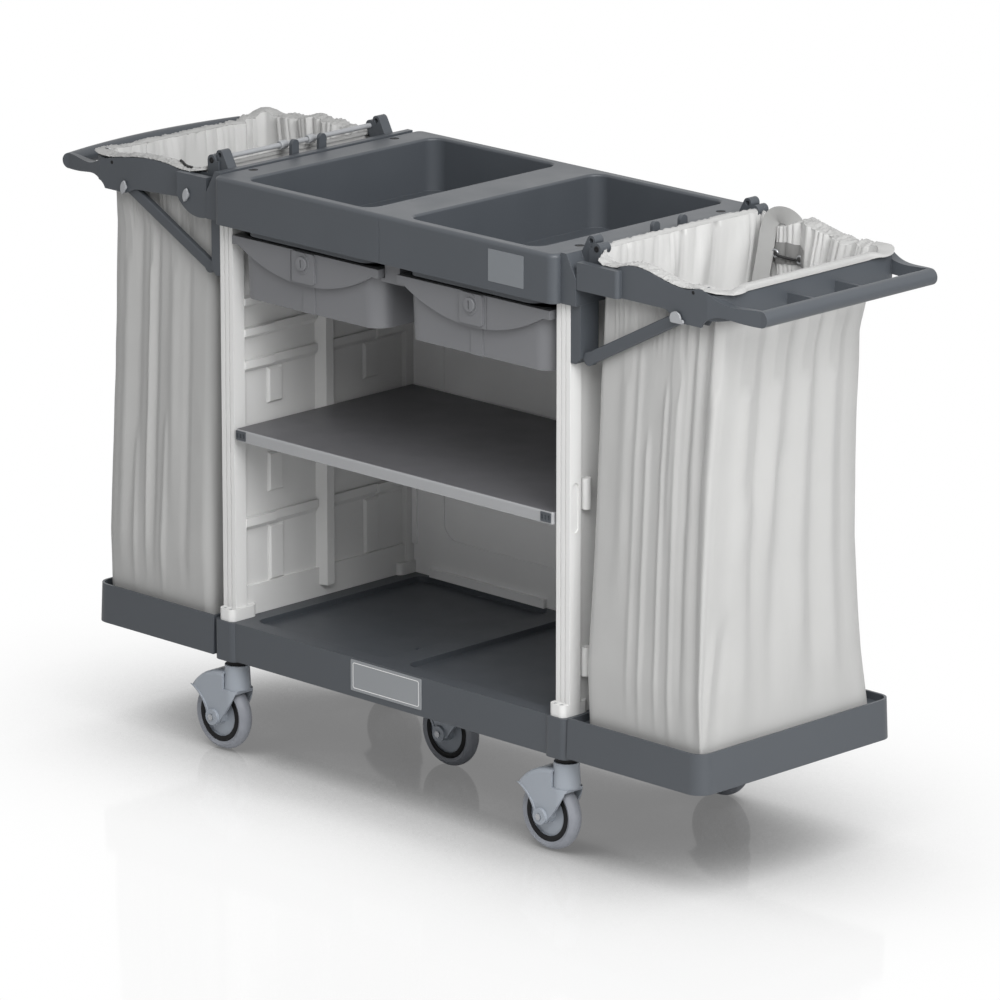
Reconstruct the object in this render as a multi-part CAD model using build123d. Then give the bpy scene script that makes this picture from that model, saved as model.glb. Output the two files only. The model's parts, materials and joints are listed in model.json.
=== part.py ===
from build123d import *
import math
import os

# Hotel housekeeping trolley with two fold-up bag holders and two drawers.
# X runs along the length, Y from the front (-Y) to the back (+Y), Z up from the floor, in mm.
# Pieces are drawn for the right-hand end (+X) and mirrored to the left where both ends match.

# Fits
turn_clear = 0.05        # radial clearance of every turning pin
slide_clear = 0.5        # air under a drawer rail
side_clear = 0.5         # air between pieces that only sit beside each other
strut_clear = 1.0        # air between a strut's foot and the strip it slides along
strut_side = 2.0         # air each side of a strut in its channel
hinge_room = 1.0         # air round a turning knuckle
flange_clear = 2.0       # air between a drawer and the hanger beside it

# Wheels
wheel_r = 70.0
rim_r = 52.5             # where the tyre meets the hub
shoulder_r = 60.0        # where the tyre's side meets its rounded tread
tyre_half = 16.5
hub_half = 12.0
hub_ring = 8.5
hub_web = 8.0            # half thickness of the hub's disc
hub_boss_r = 17.0
hub_boss_half = 22.0
axle_r = 5.0
bolt_r = 7.0
bolt_head = 3.0

# Caster forks, measured from the axle unless said otherwise
trail = 38.0             # wheel axle behind the stem
cheek_in = 24.0          # inside of the fork cheeks
cheek = 6.0
boss_r = 16.0            # round pad that carries the axle bolt
boss_out = 6.0
fender_gap = 8.0         # air between tread and fork
fork_skin = 5.0
tail_back = 63.0         # fender tail
tail_rise = 55.0
roof_back = 29.0         # a point on the fender's roof
roof_rise = 84.0
crown_rise = 96.0        # where the roof meets the stem housing
crown_back = 12.0        # behind the stem
leg_bend = 34.0          # how far the leg's two edges curve in towards the axle
sole_angle = 30.0        # where the leg's edges meet the round pad
fork_round = 9.0         # rounded edge along the fender's roof
fork_lip = 2.0           # raised edge down the back of each cheek
fork_lip_w = 5.0
housing_rise = 110.0     # top of the stem housing
housing_h = 49.0
housing_top_r = 24.5
housing_low_r = 27.0
collar_r = 21.0
collar_h = 13.0          # dark collar between fork and pillar
stem_r = 7.0
stem_depth = 30.0        # stem inside the fork
stem_seat = 40.0         # stem inside the pillar
stem_in_x = 32.0         # stem from the base's end
stem_in_y = 35.0         # stem from the pillar's face
centre_stem_x = -54.0

# Base
base_half = 480.0
base_front = 262.0
base_h = 78.0
base_wall = 5.0
recess_depth = 11.0
floor_t = 4.0
recess_in = 75.0         # recess from the base's end
recess_in_y = 37.0       # recess from the base's front
recess_r = 22.0
cross_rib = (-44.0, 10.0)
pillar_w = 62.0
pillar_d = 58.0
pillar_out = 6.0         # pillar face in front of the base
pillar_r = 18.0
pillar_drop = 2.0
rib_t = 4.0              # stiffening ribs under floors and decks
rib_gap = 30.0           # air under the floor ribs
pad_w = 76.0             # solid pad over the centre caster
pad_r = 14.0
drain_at = (-62.0, -110.0)
drain_l = 34.0
drain_w = 10.0

# Platforms that the bags stand on
platform_l = 340.0
platform_out = 2.0       # platform side outside the base's front
platform_step = 4.0      # platform above the base, top and bottom
platform_r = 30.0
platform_wall = 5.0
platform_draft = 3.0

# Side panels, heights measured from the base's top
panel_h = 795.0
panel_inset = 11.0       # outer face from the base's end
panel_w = 35.0
panel_set = 14.0         # post face behind the base's front
post_depth = 30.0
wall_set = 12.0          # wall behind the post's inner face
wall_t = 16.0
flute_w = 3.0
flute_d = 2.0
column_out = 10.0        # centre column inside the post's inner face
column_half = 20.0
ledges = ((639.0, 21.0), (578.0, 23.0), (514.0, 25.0), (199.0, 27.0))
ledge_nose_out = 2.0
ledge_rail_set = 4.0
ledge_nose_y = 140.0
ledge_lip = 0.6          # share of a ledge's height that is upright; the rest slopes back
rib_y = (110.0, 150.0)
rib_set = 6.0
rib_slope = 0.7          # share of a rib's depth taken by its sloping edges
rib_spans = ((417.0, 489.0), (239.0, 318.0), (60.0, 172.0))
band_h = 60.0
seat_out = 20.0          # shelf seat inside the post's inner face
seat_t = 10.0
foot_w = 40.0
foot_out = 2.0           # foot in front of the base
foot_d = 69.0
foot_h = 24.0
foot_r = 12.0
foot_spot_r = 4.5
foot_spot_d = 3.0
grip_slot_rise = 401.5
grip_slot_l = 95.0
grip_slot_w = 18.0
grip_slot_d = 3.0
knuckle_r = 10.0
knuckle_bore = 3.0
knuckle_y = 203.0
knuckle_spans = ((72.0, 128.0), (395.0, 455.0))

# Back panel and shelf
back_set = 10.0          # back panel's inner face in front of the post's back face
back_t = 8.0
back_gap = 18.0          # panel's top below the tray
back_margin = 84.0
back_recess = 3.0
back_field_r = 36.0
back_lip = 8.0
back_lip_h = 18.0
back_edge_w = 12.0
back_edge_t = 6.0
back_edge_gap = 36.0
shelf_rise = 365.0
shelf_t = 24.0
shelf_gap = 6.0          # shelf's end from the post's inner face
shelf_set = 8.0          # shelf's back edge before the back panel
shelf_proud = 4.0        # shelf's front edge before the posts
shelf_skin = 5.0
shelf_rim = 24.0
shelf_round = 5.0
shelf_r = 6.0
cap_in = 4.0
cap_w = 26.0
cap_d = 9.0
cap_h = 18.0
cap_proud = 1.5
cap_slots = 3
cap_slot_w = 5.0
cap_slot_d = 2.0

# Top tray
tray_in = 24.0           # tray's end from the base's end
tray_over = 18.0         # tray's face in front of the base
tray_h = 94.0
tray_r = 18.0
tray_wall = 4.0
tray_round = 8.0
basin_in = 51.0
basin_end_rim = 66.0
basin_rim = 25.0
basin_depth = 105.0
basin_wall = 3.0
basin_r = 28.0
basin_round = 5.0
deck_rib_y = 140.0
deck_rib_h = 50.0
deck_spot = (20.0, 90.0)  # round recess in the deck, in from the tray's end and its front
deck_spot_r = 9.5
deck_spot_d = 2.0
tray_seam_w = 1.5        # fine groove down the middle of the tray's front
tray_seam_d = 1.0

# End strips with lid-hinge lugs
strip_w = 38.0
strip_set = 20.0         # strip's end behind the tray's face
strip_rise = 2.0         # strip's top above the tray
strip_ledge = 14.0       # flat part of the strip's top
strip_slope = 44.0       # height of its sloping face
strip_rib_y = 110.0
lug_len = 22.5
lug_out = 2.0            # lug bore outside the strip
lug_rise = 22.0          # lug bore above the strip
lug_r = 10.0
lug_bore_r = 5.0
lug_eye_len = 16.0       # the part of a lug that holds the rod
tab_y = 37.0
tab_half = 9.5
tab_t = 8.0
tab_in = 16.0            # tab from the strip's outer face
tab_h = 58.0
tab_rise = 26.0          # tab's top above the strip

# Bag rods, struts and brackets
rod_out = 20.0           # rod outside the strip
rod_rise = 12.0          # rod above the tray
rod_r = 5.0
eye_r = 11.0
strut_pin_out = 224.0    # strut pin from the rod
strut_pin_drop = 86.0
strut_pin_r = 4.0
strut_foot_drop = 100.0  # strut's foot below the tray
strut_foot_r = 13.0
strut_r = 12.0
strut_t = 12.0
strut_round = 3.5
bracket_y = (199.0, 247.0)
bracket_h = 113.0
bracket_wall = 5.0
bracket_chamfer = 12.0
bracket_floor = 18.0

# Holder frames: distances out from the rod and down from it, for each end of the trolley
arm_gap = 1.0            # arm's inner end from the strip
arm_set = 15.0           # arm's outer face behind the base's front
arm_skin = 4.0
arm_face = 5.0
rim_line = {"left": ((92.0, 23.0), (227.0, 28.0), (282.0, 39.0)),
            "right": ((96.0, 11.0), (205.0, 26.0), (270.0, 24.0))}
shoulder_out = 70.0
ear_end = {"left": 64.0, "right": 84.0}
ear_drop = {"left": 27.0, "right": 22.0}
low_drop = {"left": (80.0, 86.0), "right": (74.0, 74.0)}
belly_drop = {"left": 98.0, "right": 94.0}
belly_out = (190.0, 226.0, 282.0)
bar_out = {"left": 404.0, "right": 414.0}
bar_drop = {"left": 66.0, "right": 59.0}
open_out = 124.0         # the channel is open above up to here
channel_out = 298.0
swoop = {"left": (322.0, 54.0), "right": (318.0, 38.0)}
horn_lift = 15.0         # horn's underside above the belly where it starts
horn_out = 14.0
end_wall_out = 322.0
end_wall_t = 6.0
end_wall_drop = {"left": (38.0, 85.0), "right": (31.0, 79.0)}
end_wall_r = 45.0        # rounded corner between arm and end wall
bar_r = 15.5
bar_in = 17.0            # bar's end inside the arm's outer face
bow = 26.0               # the left-hand bar bows outward by this much
web_y = 64.0
web_t = 6.0
web_half = 6.0
web_drop = 21.0          # web's top below the end wall's top
hinge_web = 44.0         # plate that carries the hinge knuckle, down from the rod
ear_bulge = 12.0
ear_round = 8.0
skirt_out = 1.0
skirt_drop = 34.0
skirt_r = 74.0
rim_hole = {"left": (261.0, 43.0), "right": (263.0, 32.0)}
rim_hole_r = 3.0

# Hooks
hook_r = 13.0
hook_t = 4.0
hook_neck = 3.0
hook_neck_r = 6.0
hook_lip = 2.0
hook_tongue = (32.0, 8.0)
claw_w = 13.0
claw_h = 28.0
claw_tilt = 12.0
ear_hook = (34.0, 68.0)

# Bags: air at the inner end, the outer end and the sides, at the bottom, the belly and the mouth
bag_gaps = ((22.0, 9.0, 13.0), (21.0, 3.0, 7.0), (10.0, 8.0, 10.0))
bag_belly = 120.0        # belly above the platform's floor
bag_drop = 24.0          # bag's mouth below the rod
bag_wall = 3.0
bag_r = 36.0

# Drawers
drawer_in = 25.0
drawer_gap = 9.0         # drawer from the post's inner face
tub_in = 8.0             # tub inside the drawer's rails
tub_depth = 105.0
tub_draft = 4.0
tub_wall = 3.0
tub_r = 40.0
tub_back_gap = 16.0
rail_drop = 38.0         # rail's foot below the tray
rail_h = 17.0
rail_t = 4.0
rail_over = 4.0
runner_gap = 3.0         # runner ledge from the tub
front_set = 22.0         # drawer front behind the tray's face
front_t = 8.0
front_dip = 49.0
front_dip_in = 10.0
tub_set = 10.0           # tub behind the drawer's face
block_half = 30.0
block_out = 5.0
block_r = 6.0
block_lift = 6.0
seam_gap = 6.0
seam_w = 2.0
seam_d = 1.5
band_half = 16.0
band_out = 3.0
lock_rise = -4.0
lock_plate = (17.0, 21.0)  # oval plate behind the lock
lock_plate_t = 1.5
lock_r = 14.0
lock_out = 5.0
lock_gap = 0.3
lock_round = 2.0
lock_pin_r = 5.0
lock_slot = (3.0, 16.0, 3.0)
hanger_half = 20.0
hanger_wall = 4.0
hanger_h = 24.0
hanger_t = 7.0
hanger_tie = 20.0
hanger_tie_half = 6.0
hanger_set = 13.0
hanger_face = 8.0        # closed front end of the hanger
hanger_face_rise = 10.0  # its top above the tray's lower edge

# Heights and places that follow from the sizes above
fork_top = wheel_r + housing_rise
pillar_low = fork_top + collar_h
base_bottom = pillar_low + pillar_drop
base_top = base_bottom + base_h
floor_z = base_top - recess_depth
pillar_front = base_front + pillar_out
stem_x = base_half - stem_in_x
stem_y = pillar_front - stem_in_y
platform_half = base_front + platform_out
platform_end = base_half + platform_l
panel_out = base_half - panel_inset
panel_in = panel_out - panel_w
panel_front = base_front - panel_set
wall_in = panel_in + wall_set
wall_out = wall_in + wall_t
back_y = panel_front - back_set
tray_bottom = base_top + panel_h
tray_top = tray_bottom + tray_h
tray_half = base_half - tray_in
tray_depth = base_front + tray_over
strip_out = tray_half + strip_w
strip_half = tray_depth - strip_set
strip_top = tray_top + strip_rise
shelf_z = base_top + shelf_rise
shelf_half = panel_in - shelf_gap
shelf_front = panel_front + shelf_proud
shelf_back = back_y - shelf_set
rod_x = strip_out + rod_out
rod_z = tray_top + rod_rise
strut_pin_x = rod_x + strut_pin_out
strut_pin_z = rod_z - strut_pin_drop
strut_foot_x = strip_out + strut_clear + strut_foot_r
strut_foot_z = tray_bottom - strut_foot_drop
arm_out = base_front - arm_set
bar_half = arm_out - bar_in
channel_y = (arm_out - arm_face - strut_t - 2 * strut_side, arm_out - arm_face)
arm_in = channel_y[0] - arm_skin
arm_start = strip_out + arm_gap
lug_y = (arm_in - side_clear - lug_len, arm_in - side_clear)
drawer_out = panel_in - drawer_gap
tub_x = (drawer_in + tub_in, drawer_out - tub_in)
drawer_mid = (drawer_in + drawer_out) / 2
front_y = tray_depth - front_set
tub_front = front_y - tub_set
tub_back = back_y - tub_back_gap
rail_z = tray_bottom - rail_drop
rail_top = rail_z + rail_h
runner_z = rail_z - slide_clear
lock_z = rail_z + lock_rise
bag_floor = (base_half + platform_wall, platform_end - platform_wall, platform_half - platform_wall)
bag_mouth = (rod_x, rod_x + end_wall_out, arm_in)


def block(x0, x1, y0, y1, z0, z1):
    size = Box(x1 - x0, y1 - y0, z1 - z0)
    return Pos((x0 + x1) / 2, (y0 + y1) / 2, (z0 + z1) / 2) * size


def prism(sketch, z0, z1):
    return Pos(0, 0, z0) * extrude(sketch, z1 - z0)


def slab(sketch, y0, y1):
    """A sketch drawn in X and Z, made solid from y0 to y1."""
    return extrude(Plane.XZ.offset(-y1) * sketch, y1 - y0)


def rounded(x0, x1, y0, y1, r):
    return Pos((x0 + x1) / 2, (y0 + y1) / 2) * RectangleRounded(x1 - x0, y1 - y0, r)


def disc(x, z, r, y0, y1):
    return slab(Pos(x, z) * Circle(r), y0, y1)


def to_left(shape):
    return mirror(shape, about=Plane.YZ)


def to_back(shape):
    return mirror(shape, about=Plane.XZ)


def front_and_back(shape):
    return shape + to_back(shape)


def four_corners(x, y):
    return [(sx * x, sy * y) for sx in (-1, 1) for sy in (-1, 1)]


def recesses():
    """The two pans in the base's floor, as spans in X."""
    end = base_half - recess_in
    return (-end, cross_rib[0]), (cross_rib[1], end)


def base_tray():
    px = base_half - pillar_w / 2
    py = pillar_front - pillar_d / 2
    outline = Rectangle(2 * px, 2 * base_front) + Rectangle(2 * base_half, 2 * py)
    body = prism(outline, base_bottom, base_top)
    for x, y in four_corners(px, py):
        pillar = Pos(x, y) * RectangleRounded(pillar_w, pillar_d, pillar_r)
        body += prism(pillar, pillar_low, base_top)
    under = floor_z - floor_t
    hollow_x = base_half - pillar_w - base_wall
    hollow_y = base_front - base_wall
    hollow = Rectangle(2 * hollow_x, 2 * hollow_y)
    hollow += Rectangle(2 * (base_half - base_wall), 2 * (pillar_front - pillar_d - base_wall))
    body -= prism(hollow, pillar_low, under)
    for x0, x1 in recesses():
        pan = rounded(x0, x1, recess_in_y - base_front, back_y - back_lip, recess_r)
        body -= prism(pan, floor_z, base_top)
    rib_low = base_bottom + rib_gap
    for y in (-stem_y / 2, 0, stem_y / 2):
        body += block(-hollow_x, hollow_x, y - rib_t / 2, y + rib_t / 2, rib_low, under)
    for x in (-stem_x / 2, stem_x / 2):
        body += block(x - rib_t / 2, x + rib_t / 2, -hollow_y, hollow_y, rib_low, under)
    pad = Pos(centre_stem_x, 0) * RectangleRounded(pad_w, pad_w, pad_r)
    body += prism(pad, pillar_low, under)
    for x, y in four_corners(stem_x, stem_y) + [(centre_stem_x, 0)]:
        body -= prism(Pos(x, y) * Circle(stem_r), pillar_low, pillar_low + stem_seat)
    return body - prism(Pos(*drain_at) * SlotOverall(drain_l, drain_w), under, floor_z)


def platform_outline(grow):
    """Plan of a platform with its outer corners rounded, grown outward on its three free sides."""
    x1 = platform_end + grow
    y1 = platform_half + grow
    outline = Pos((base_half + x1) / 2, 0) * Rectangle(x1 - base_half, 2 * y1)
    return fillet(outline.vertices().group_by(Axis.X)[-1], platform_r + grow)


def platform():
    low = base_bottom + platform_step
    top = base_top + platform_step
    under = floor_z - floor_t
    foot = Pos(0, 0, low) * platform_outline(platform_draft)
    body = loft([foot, Pos(0, 0, top) * platform_outline(0)], ruled=True)
    inside = offset(platform_outline(0), amount=-platform_wall)
    body -= prism(inside, floor_z, top) + prism(inside, low, under)
    x0 = base_half + platform_wall
    x1 = platform_end - platform_wall
    wide = platform_half - platform_wall
    mid = (x0 + x1) / 2
    body += block(mid - rib_t / 2, mid + rib_t / 2, -wide, wide, low + rib_gap, under)
    for y in (-wide / 3, wide / 3):
        body += block(x0, x1, y - rib_t / 2, y + rib_t / 2, low + rib_gap, under)
    return body


def ledge(tip, z1, height):
    """Section of a runner ledge: flat above, an upright lip, then sloping back to the wall."""
    return Polygon((wall_in, z1), (tip, z1), (tip, z1 - ledge_lip * height), (wall_in, z1 - height),
                   align=None)


def post():
    """Fluted front post with the runner ledges, ribs and foot of a side panel's front half."""
    post_y = panel_front - post_depth
    body = block(panel_in, panel_out, -panel_front, -post_y, base_top, tray_bottom)
    for i in (1, 2):
        x = panel_in + i * panel_w / 3
        body -= block(x - flute_w / 2, x + flute_w / 2, -panel_front, flute_d - panel_front,
                      base_top + foot_h, tray_bottom)
    for rise, height in ledges:
        z1 = base_top + rise
        body += slab(ledge(panel_in - ledge_nose_out, z1, height), -post_y, -ledge_nose_y)
        body += slab(ledge(panel_in + ledge_rail_set, z1, height), -ledge_nose_y, -column_half)
    for z0, z1 in rib_spans:
        rib = block(panel_in + rib_set, wall_in, -rib_y[1], -rib_y[0], base_top + z0, base_top + z1)
        depth = wall_set - rib_set
        body += chamfer(rib.faces().sort_by(Axis.X)[0].edges(), depth * rib_slope)
    x1 = panel_out - side_clear
    y0 = -base_front - foot_out
    top = base_top + foot_h
    foot = prism(rounded(x1 - foot_w, x1, y0, y0 + foot_d, foot_r), base_top, top)
    for x in (x1 - foot_w + foot_r, x1 - foot_r):
        spot = Pos(x, (y0 - panel_front) / 2) * Circle(foot_spot_r)
        foot -= prism(spot, top - foot_spot_d, top)
    return body + foot


def side_panel():
    post_y = panel_front - post_depth
    body = block(wall_in, wall_out, -post_y, post_y, base_top, tray_bottom)
    body += front_and_back(post())
    tip = panel_in - column_out
    column = Polygon((tip, -column_half / 2), (wall_in, -column_half), (wall_in, column_half),
                     (tip, column_half / 2), align=None)
    body += prism(column, base_top + foot_h, runner_z - seat_t)
    body += block(panel_in + rib_set, wall_in, -post_y, post_y, base_top, base_top + band_h)
    seats = ((panel_in - seat_out, shelf_z), (tub_x[1] + runner_gap, runner_z))
    for x0, z1 in seats:
        body += block(x0, wall_in, -post_y, post_y, z1 - seat_t, z1)
    slot = SlotOverall(grip_slot_l, grip_slot_w, rotation=90)
    slot = Pos(post_depth / 2 - panel_front, base_top + grip_slot_rise) * slot
    body -= extrude(Plane.YZ.offset(panel_out - grip_slot_d) * slot, grip_slot_d)
    ring = Pos(wall_out + knuckle_r / 2, -knuckle_y) * (Circle(knuckle_r) - Circle(knuckle_bore))
    for z0, z1 in knuckle_spans:
        barrel = prism(ring, base_top + z0, base_top + z1)
        body += barrel - block(wall_in, wall_out, -panel_front, 0, base_top + z0, base_top + z1)
    return body


def back_panel():
    wide = panel_in - side_clear
    top = tray_bottom - back_gap
    body = block(-wide, wide, back_y, back_y + back_t, base_top, top)
    field = RectangleRounded(2 * (wide - back_margin), top - base_top - 2 * back_margin, back_field_r)
    body -= slab(Pos(0, (base_top + top) / 2) * field, back_y, back_y + back_recess)
    for x0, x1 in recesses():
        body += block(x0 + recess_r, x1 - recess_r, back_y - back_lip, back_y, base_top,
                      base_top + back_lip_h)
    edge_low = base_top + foot_h + back_edge_gap
    for x in (-wide, wide - back_edge_w):
        body += block(x, x + back_edge_w, back_y - back_edge_t, back_y, edge_low, shelf_z - back_edge_gap)
    foot_in = panel_out - foot_w - 2 * side_clear
    notch = block(foot_in, wide, back_y, back_y + back_t, base_top, base_top + foot_h + side_clear)
    return body - notch - to_left(notch)


def shelf():
    outline = rounded(-shelf_half, shelf_half, -shelf_front, shelf_back, shelf_r)
    top = shelf_z + shelf_t
    body = prism(outline, shelf_z, top)
    top_front = body.edges().group_by(Axis.Z)[-1].filter_by(Axis.X).sort_by(Axis.Y)[0]
    body = fillet(top_front, shelf_round)
    body -= prism(offset(outline, amount=-shelf_rim), shelf_z, top - shelf_skin)
    for x in (-shelf_half / 3, shelf_half / 3):
        body += block(x - rib_t / 2, x + rib_t / 2, shelf_r - shelf_front, shelf_back - shelf_r,
                      shelf_z + shelf_r, top - shelf_skin)
    notch_x = panel_in - column_out - side_clear
    notch = block(notch_x, shelf_half, -column_half, column_half, shelf_z, top)
    return body - notch - to_left(notch) - caps(0)


def caps(proud):
    x1 = shelf_half - cap_in
    z0 = shelf_z + (shelf_t - cap_h) / 2
    one = block(x1 - cap_w, x1, -shelf_front - proud, cap_d - shelf_front, z0, z0 + cap_h)
    return one + to_left(one)


def shelf_end_caps():
    body = caps(cap_proud)
    step = cap_w / cap_slots
    for i in range(cap_slots):
        x = shelf_half - cap_in - cap_w + (i + 0.5) * step
        slot = Pos(x, shelf_z + shelf_t / 2) * Rectangle(cap_slot_w, cap_h / 2)
        slot = slab(slot, -shelf_front - cap_proud, cap_slot_d - shelf_front - cap_proud)
        body -= slot + to_left(slot)
    return body


def top_tray():
    outline = RectangleRounded(2 * tray_half, 2 * tray_depth, tray_r)
    body = prism(outline, tray_bottom, tray_top)
    body = fillet(body.edges().group_by(Axis.Z)[-1], tray_round)
    under = tray_top - tray_wall
    body -= prism(offset(outline, amount=-tray_wall), tray_bottom, under)
    x1 = tray_half - basin_end_rim
    y1 = tray_depth - basin_rim
    floor = tray_top - basin_depth
    w = basin_wall
    outer = rounded(basin_in - w, x1 + w, -y1 - w, y1 + w, basin_r + w)
    outer = prism(outer, floor - tray_wall, under)
    inner = prism(rounded(basin_in, x1, -y1, y1, basin_r), floor, tray_top)
    body += outer + to_left(outer)
    body -= inner + to_left(inner)
    mouth = body.faces().filter_by(Axis.Z).sort_by(Axis.Z)[-1].inner_wires()
    body = fillet([edge for wire in mouth for edge in wire.edges()], basin_round)
    for y in (-deck_rib_y, 0, deck_rib_y):
        rib = block(x1 + w, tray_half - tray_wall, y - rib_t / 2, y + rib_t / 2, under - deck_rib_h, under)
        body += rib + to_left(rib)
    for x, y in four_corners(tray_half - deck_spot[0], tray_depth - deck_spot[1]):
        body -= prism(Pos(x, y) * Circle(deck_spot_r), tray_top - deck_spot_d, tray_top)
    half = tray_seam_w / 2
    return body - block(-half, half, -tray_depth, tray_seam_d - tray_depth, tray_bottom, tray_top - tray_round)


def slope_foot():
    """The patch of the strip's sloping face that lugs and rod eyes grow from, seen from the side."""
    x0 = tray_half + strip_ledge
    z0 = strip_top - strip_slope
    return Polygon((x0, strip_top - rod_r), (strip_out, z0), (x0, z0 + rod_r), align=None)


def lug_plate(head_z, head_r):
    """A fin with a round head."""
    head = Pos(strip_out + lug_out, head_z) * Circle(head_r)
    return make_hull((head + slope_foot()).edges())


def rod_eye():
    """An eye that holds the bag rod."""
    eye = Pos(rod_x, rod_z) * Circle(eye_r)
    return make_hull((eye + slope_foot()).edges())


def end_strip():
    z_low = strip_top - strip_slope
    section = Polygon((tray_half, tray_bottom), (strip_out, tray_bottom), (strip_out, z_low),
                      (tray_half + strip_ledge, strip_top), (tray_half, strip_top), align=None)
    body = slab(section, -strip_half, strip_half)
    room = slab(offset(section, amount=-tray_wall), tray_wall - strip_half, strip_half - tray_wall)
    body -= room + Pos(0, 0, -tray_wall) * room
    for y in (-strip_rib_y, strip_rib_y):
        body += slab(section, y - rib_t / 2, y + rib_t / 2)
    lug_z = strip_top + lug_rise
    lug = slab(lug_plate(lug_z, lug_r), -lug_y[1], -lug_y[0])
    lug -= disc(rod_x, rod_z, eye_r + hinge_room, -lug_y[1], -lug_y[0])
    lug -= disc(strip_out + lug_out, lug_z, lug_bore_r, -lug_y[1], -lug_y[0])
    eye = slab(rod_eye(), -lug_y[0] - lug_eye_len, -lug_y[0])
    eye -= disc(strip_out + lug_out, lug_z, lug_bore_r, -lug_y[1], -lug_y[0])
    tab = Pos(-tab_y, strip_top + tab_rise - tab_h / 2) * SlotOverall(tab_h, 2 * tab_half, rotation=90)
    tab = extrude(Plane.YZ.offset(strip_out - tab_in) * tab, tab_t)
    body += front_and_back(lug + eye + tab)
    return body - disc(rod_x, rod_z, rod_r, -channel_y[0], channel_y[0])


def brackets():
    low = tray_bottom - bracket_h
    body = block(panel_out, strip_out, -bracket_y[1], -bracket_y[0], low, tray_bottom)
    nose = body.edges().filter_by(Axis.Y).group_by(Axis.Z)[0].sort_by(Axis.X)[-1]
    body = chamfer(nose, bracket_chamfer)
    body -= block(panel_out, strip_out - bracket_wall, bracket_wall - bracket_y[1],
                  -bracket_wall - bracket_y[0], low + bracket_floor, tray_bottom)
    return front_and_back(body)


def rod():
    return disc(rod_x, rod_z, rod_r, -channel_y[0], channel_y[0])


def out(distance, drop):
    """A point in side view, measured out and down from the rod."""
    return rod_x + distance, rod_z - drop


def arm_outline(side):
    """Side view of an arm: ear, rim, horn to the push bar, belly over the strut pin, lower edge."""
    start = arm_start - rod_x
    end, bar = bar_out[side], bar_drop[side]
    rise, flat, belly_end = belly_out
    belly = belly_drop[side]
    low_in, low_out = low_drop[side]
    ear = Line(out(start, ear_drop[side]), out(shoulder_out, ear_drop[side]))
    rim = Spline(ear @ 1, *[out(*place) for place in rim_line[side]])
    top = Spline(rim @ 1, out(*swoop[side]), out(end, bar - bar_r), tangents=(rim % 1, (1, 0)))
    tip = Line(top @ 1, out(end, bar + bar_r))
    under = Spline(tip @ 1, out(belly_end + horn_out, belly - horn_lift), out(belly_end, belly),
                   tangents=((-1, 0), (-0.4, -1)))
    floor = Line(under @ 1, out(flat, belly))
    step = Spline(floor @ 1, out(rise, low_out), tangents=((-1, 0.1), (-1, 0.1)))
    low = Polyline(step @ 1, out(ear_end[side], low_in), out(start, low_in), ear @ 0)
    return make_face([ear, rim, top, tip, under, floor, step, *low.edges()])


def arm(side):
    """Front arm: a channel open below for the strut, with the ear and the hinge knuckle."""
    outline = arm_outline(side)
    face = arm_face - arm_out
    inner = -channel_y[0]
    end_x = rod_x + bar_out[side]
    channel_x = rod_x + channel_out
    below = rod_z - belly_drop[side] - bar_r
    ear_z = rod_z - ear_drop[side]
    low_z = rod_z - low_drop[side][0]
    plan = Polygon((arm_start, -arm_out), (channel_x, -arm_out), (end_x, -bar_half),
                   (end_x, -arm_in), (arm_start, -arm_in), align=None)
    body = slab(outline, -arm_out, -arm_in) & prism(plan, below, rod_z)
    channel = slab(Pos(0, -arm_skin) * outline, face, inner)
    body -= channel & block(arm_start, channel_x, face, inner, below, rod_z)
    body -= block(arm_start, channel_x - strut_r, face, inner, below, low_z + 2 * strut_r)
    body -= block(arm_start, rod_x + open_out, face, inner, below, rod_z)
    knuckle_end = -lug_y[0] - lug_eye_len - side_clear
    body += block(arm_start, rod_x + eye_r, inner, -arm_in, rod_z - hinge_web, rod_z)
    body += disc(rod_x, rod_z, eye_r, inner, knuckle_end)
    body -= disc(rod_x, rod_z, rod_r + turn_clear, inner, knuckle_end)
    ear_l = rod_x + ear_end[side] - arm_start
    pad = Pos(arm_start, -arm_out) * Rectangle(ear_l, ear_bulge, align=(Align.MIN, Align.MAX))
    pad = fillet(pad.vertices().group_by(Axis.Y)[0].sort_by(Axis.X)[-1], ear_round)
    body += prism(pad, low_z, ear_z)
    if side == "left":
        skirt = Pos(*out(skirt_out, skirt_drop)) * Circle(skirt_r)
        skirt &= Pos(arm_start, ear_z) * Rectangle(ear_l, 2 * skirt_r, align=(Align.MIN, Align.MAX))
        body += slab(skirt, -arm_out - ear_bulge, face)
    body -= disc(strut_pin_x, strut_pin_z, strut_pin_r, -arm_out, -arm_in)
    return body - disc(*out(*rim_hole[side]), rim_hole_r, -arm_out, face)


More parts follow.
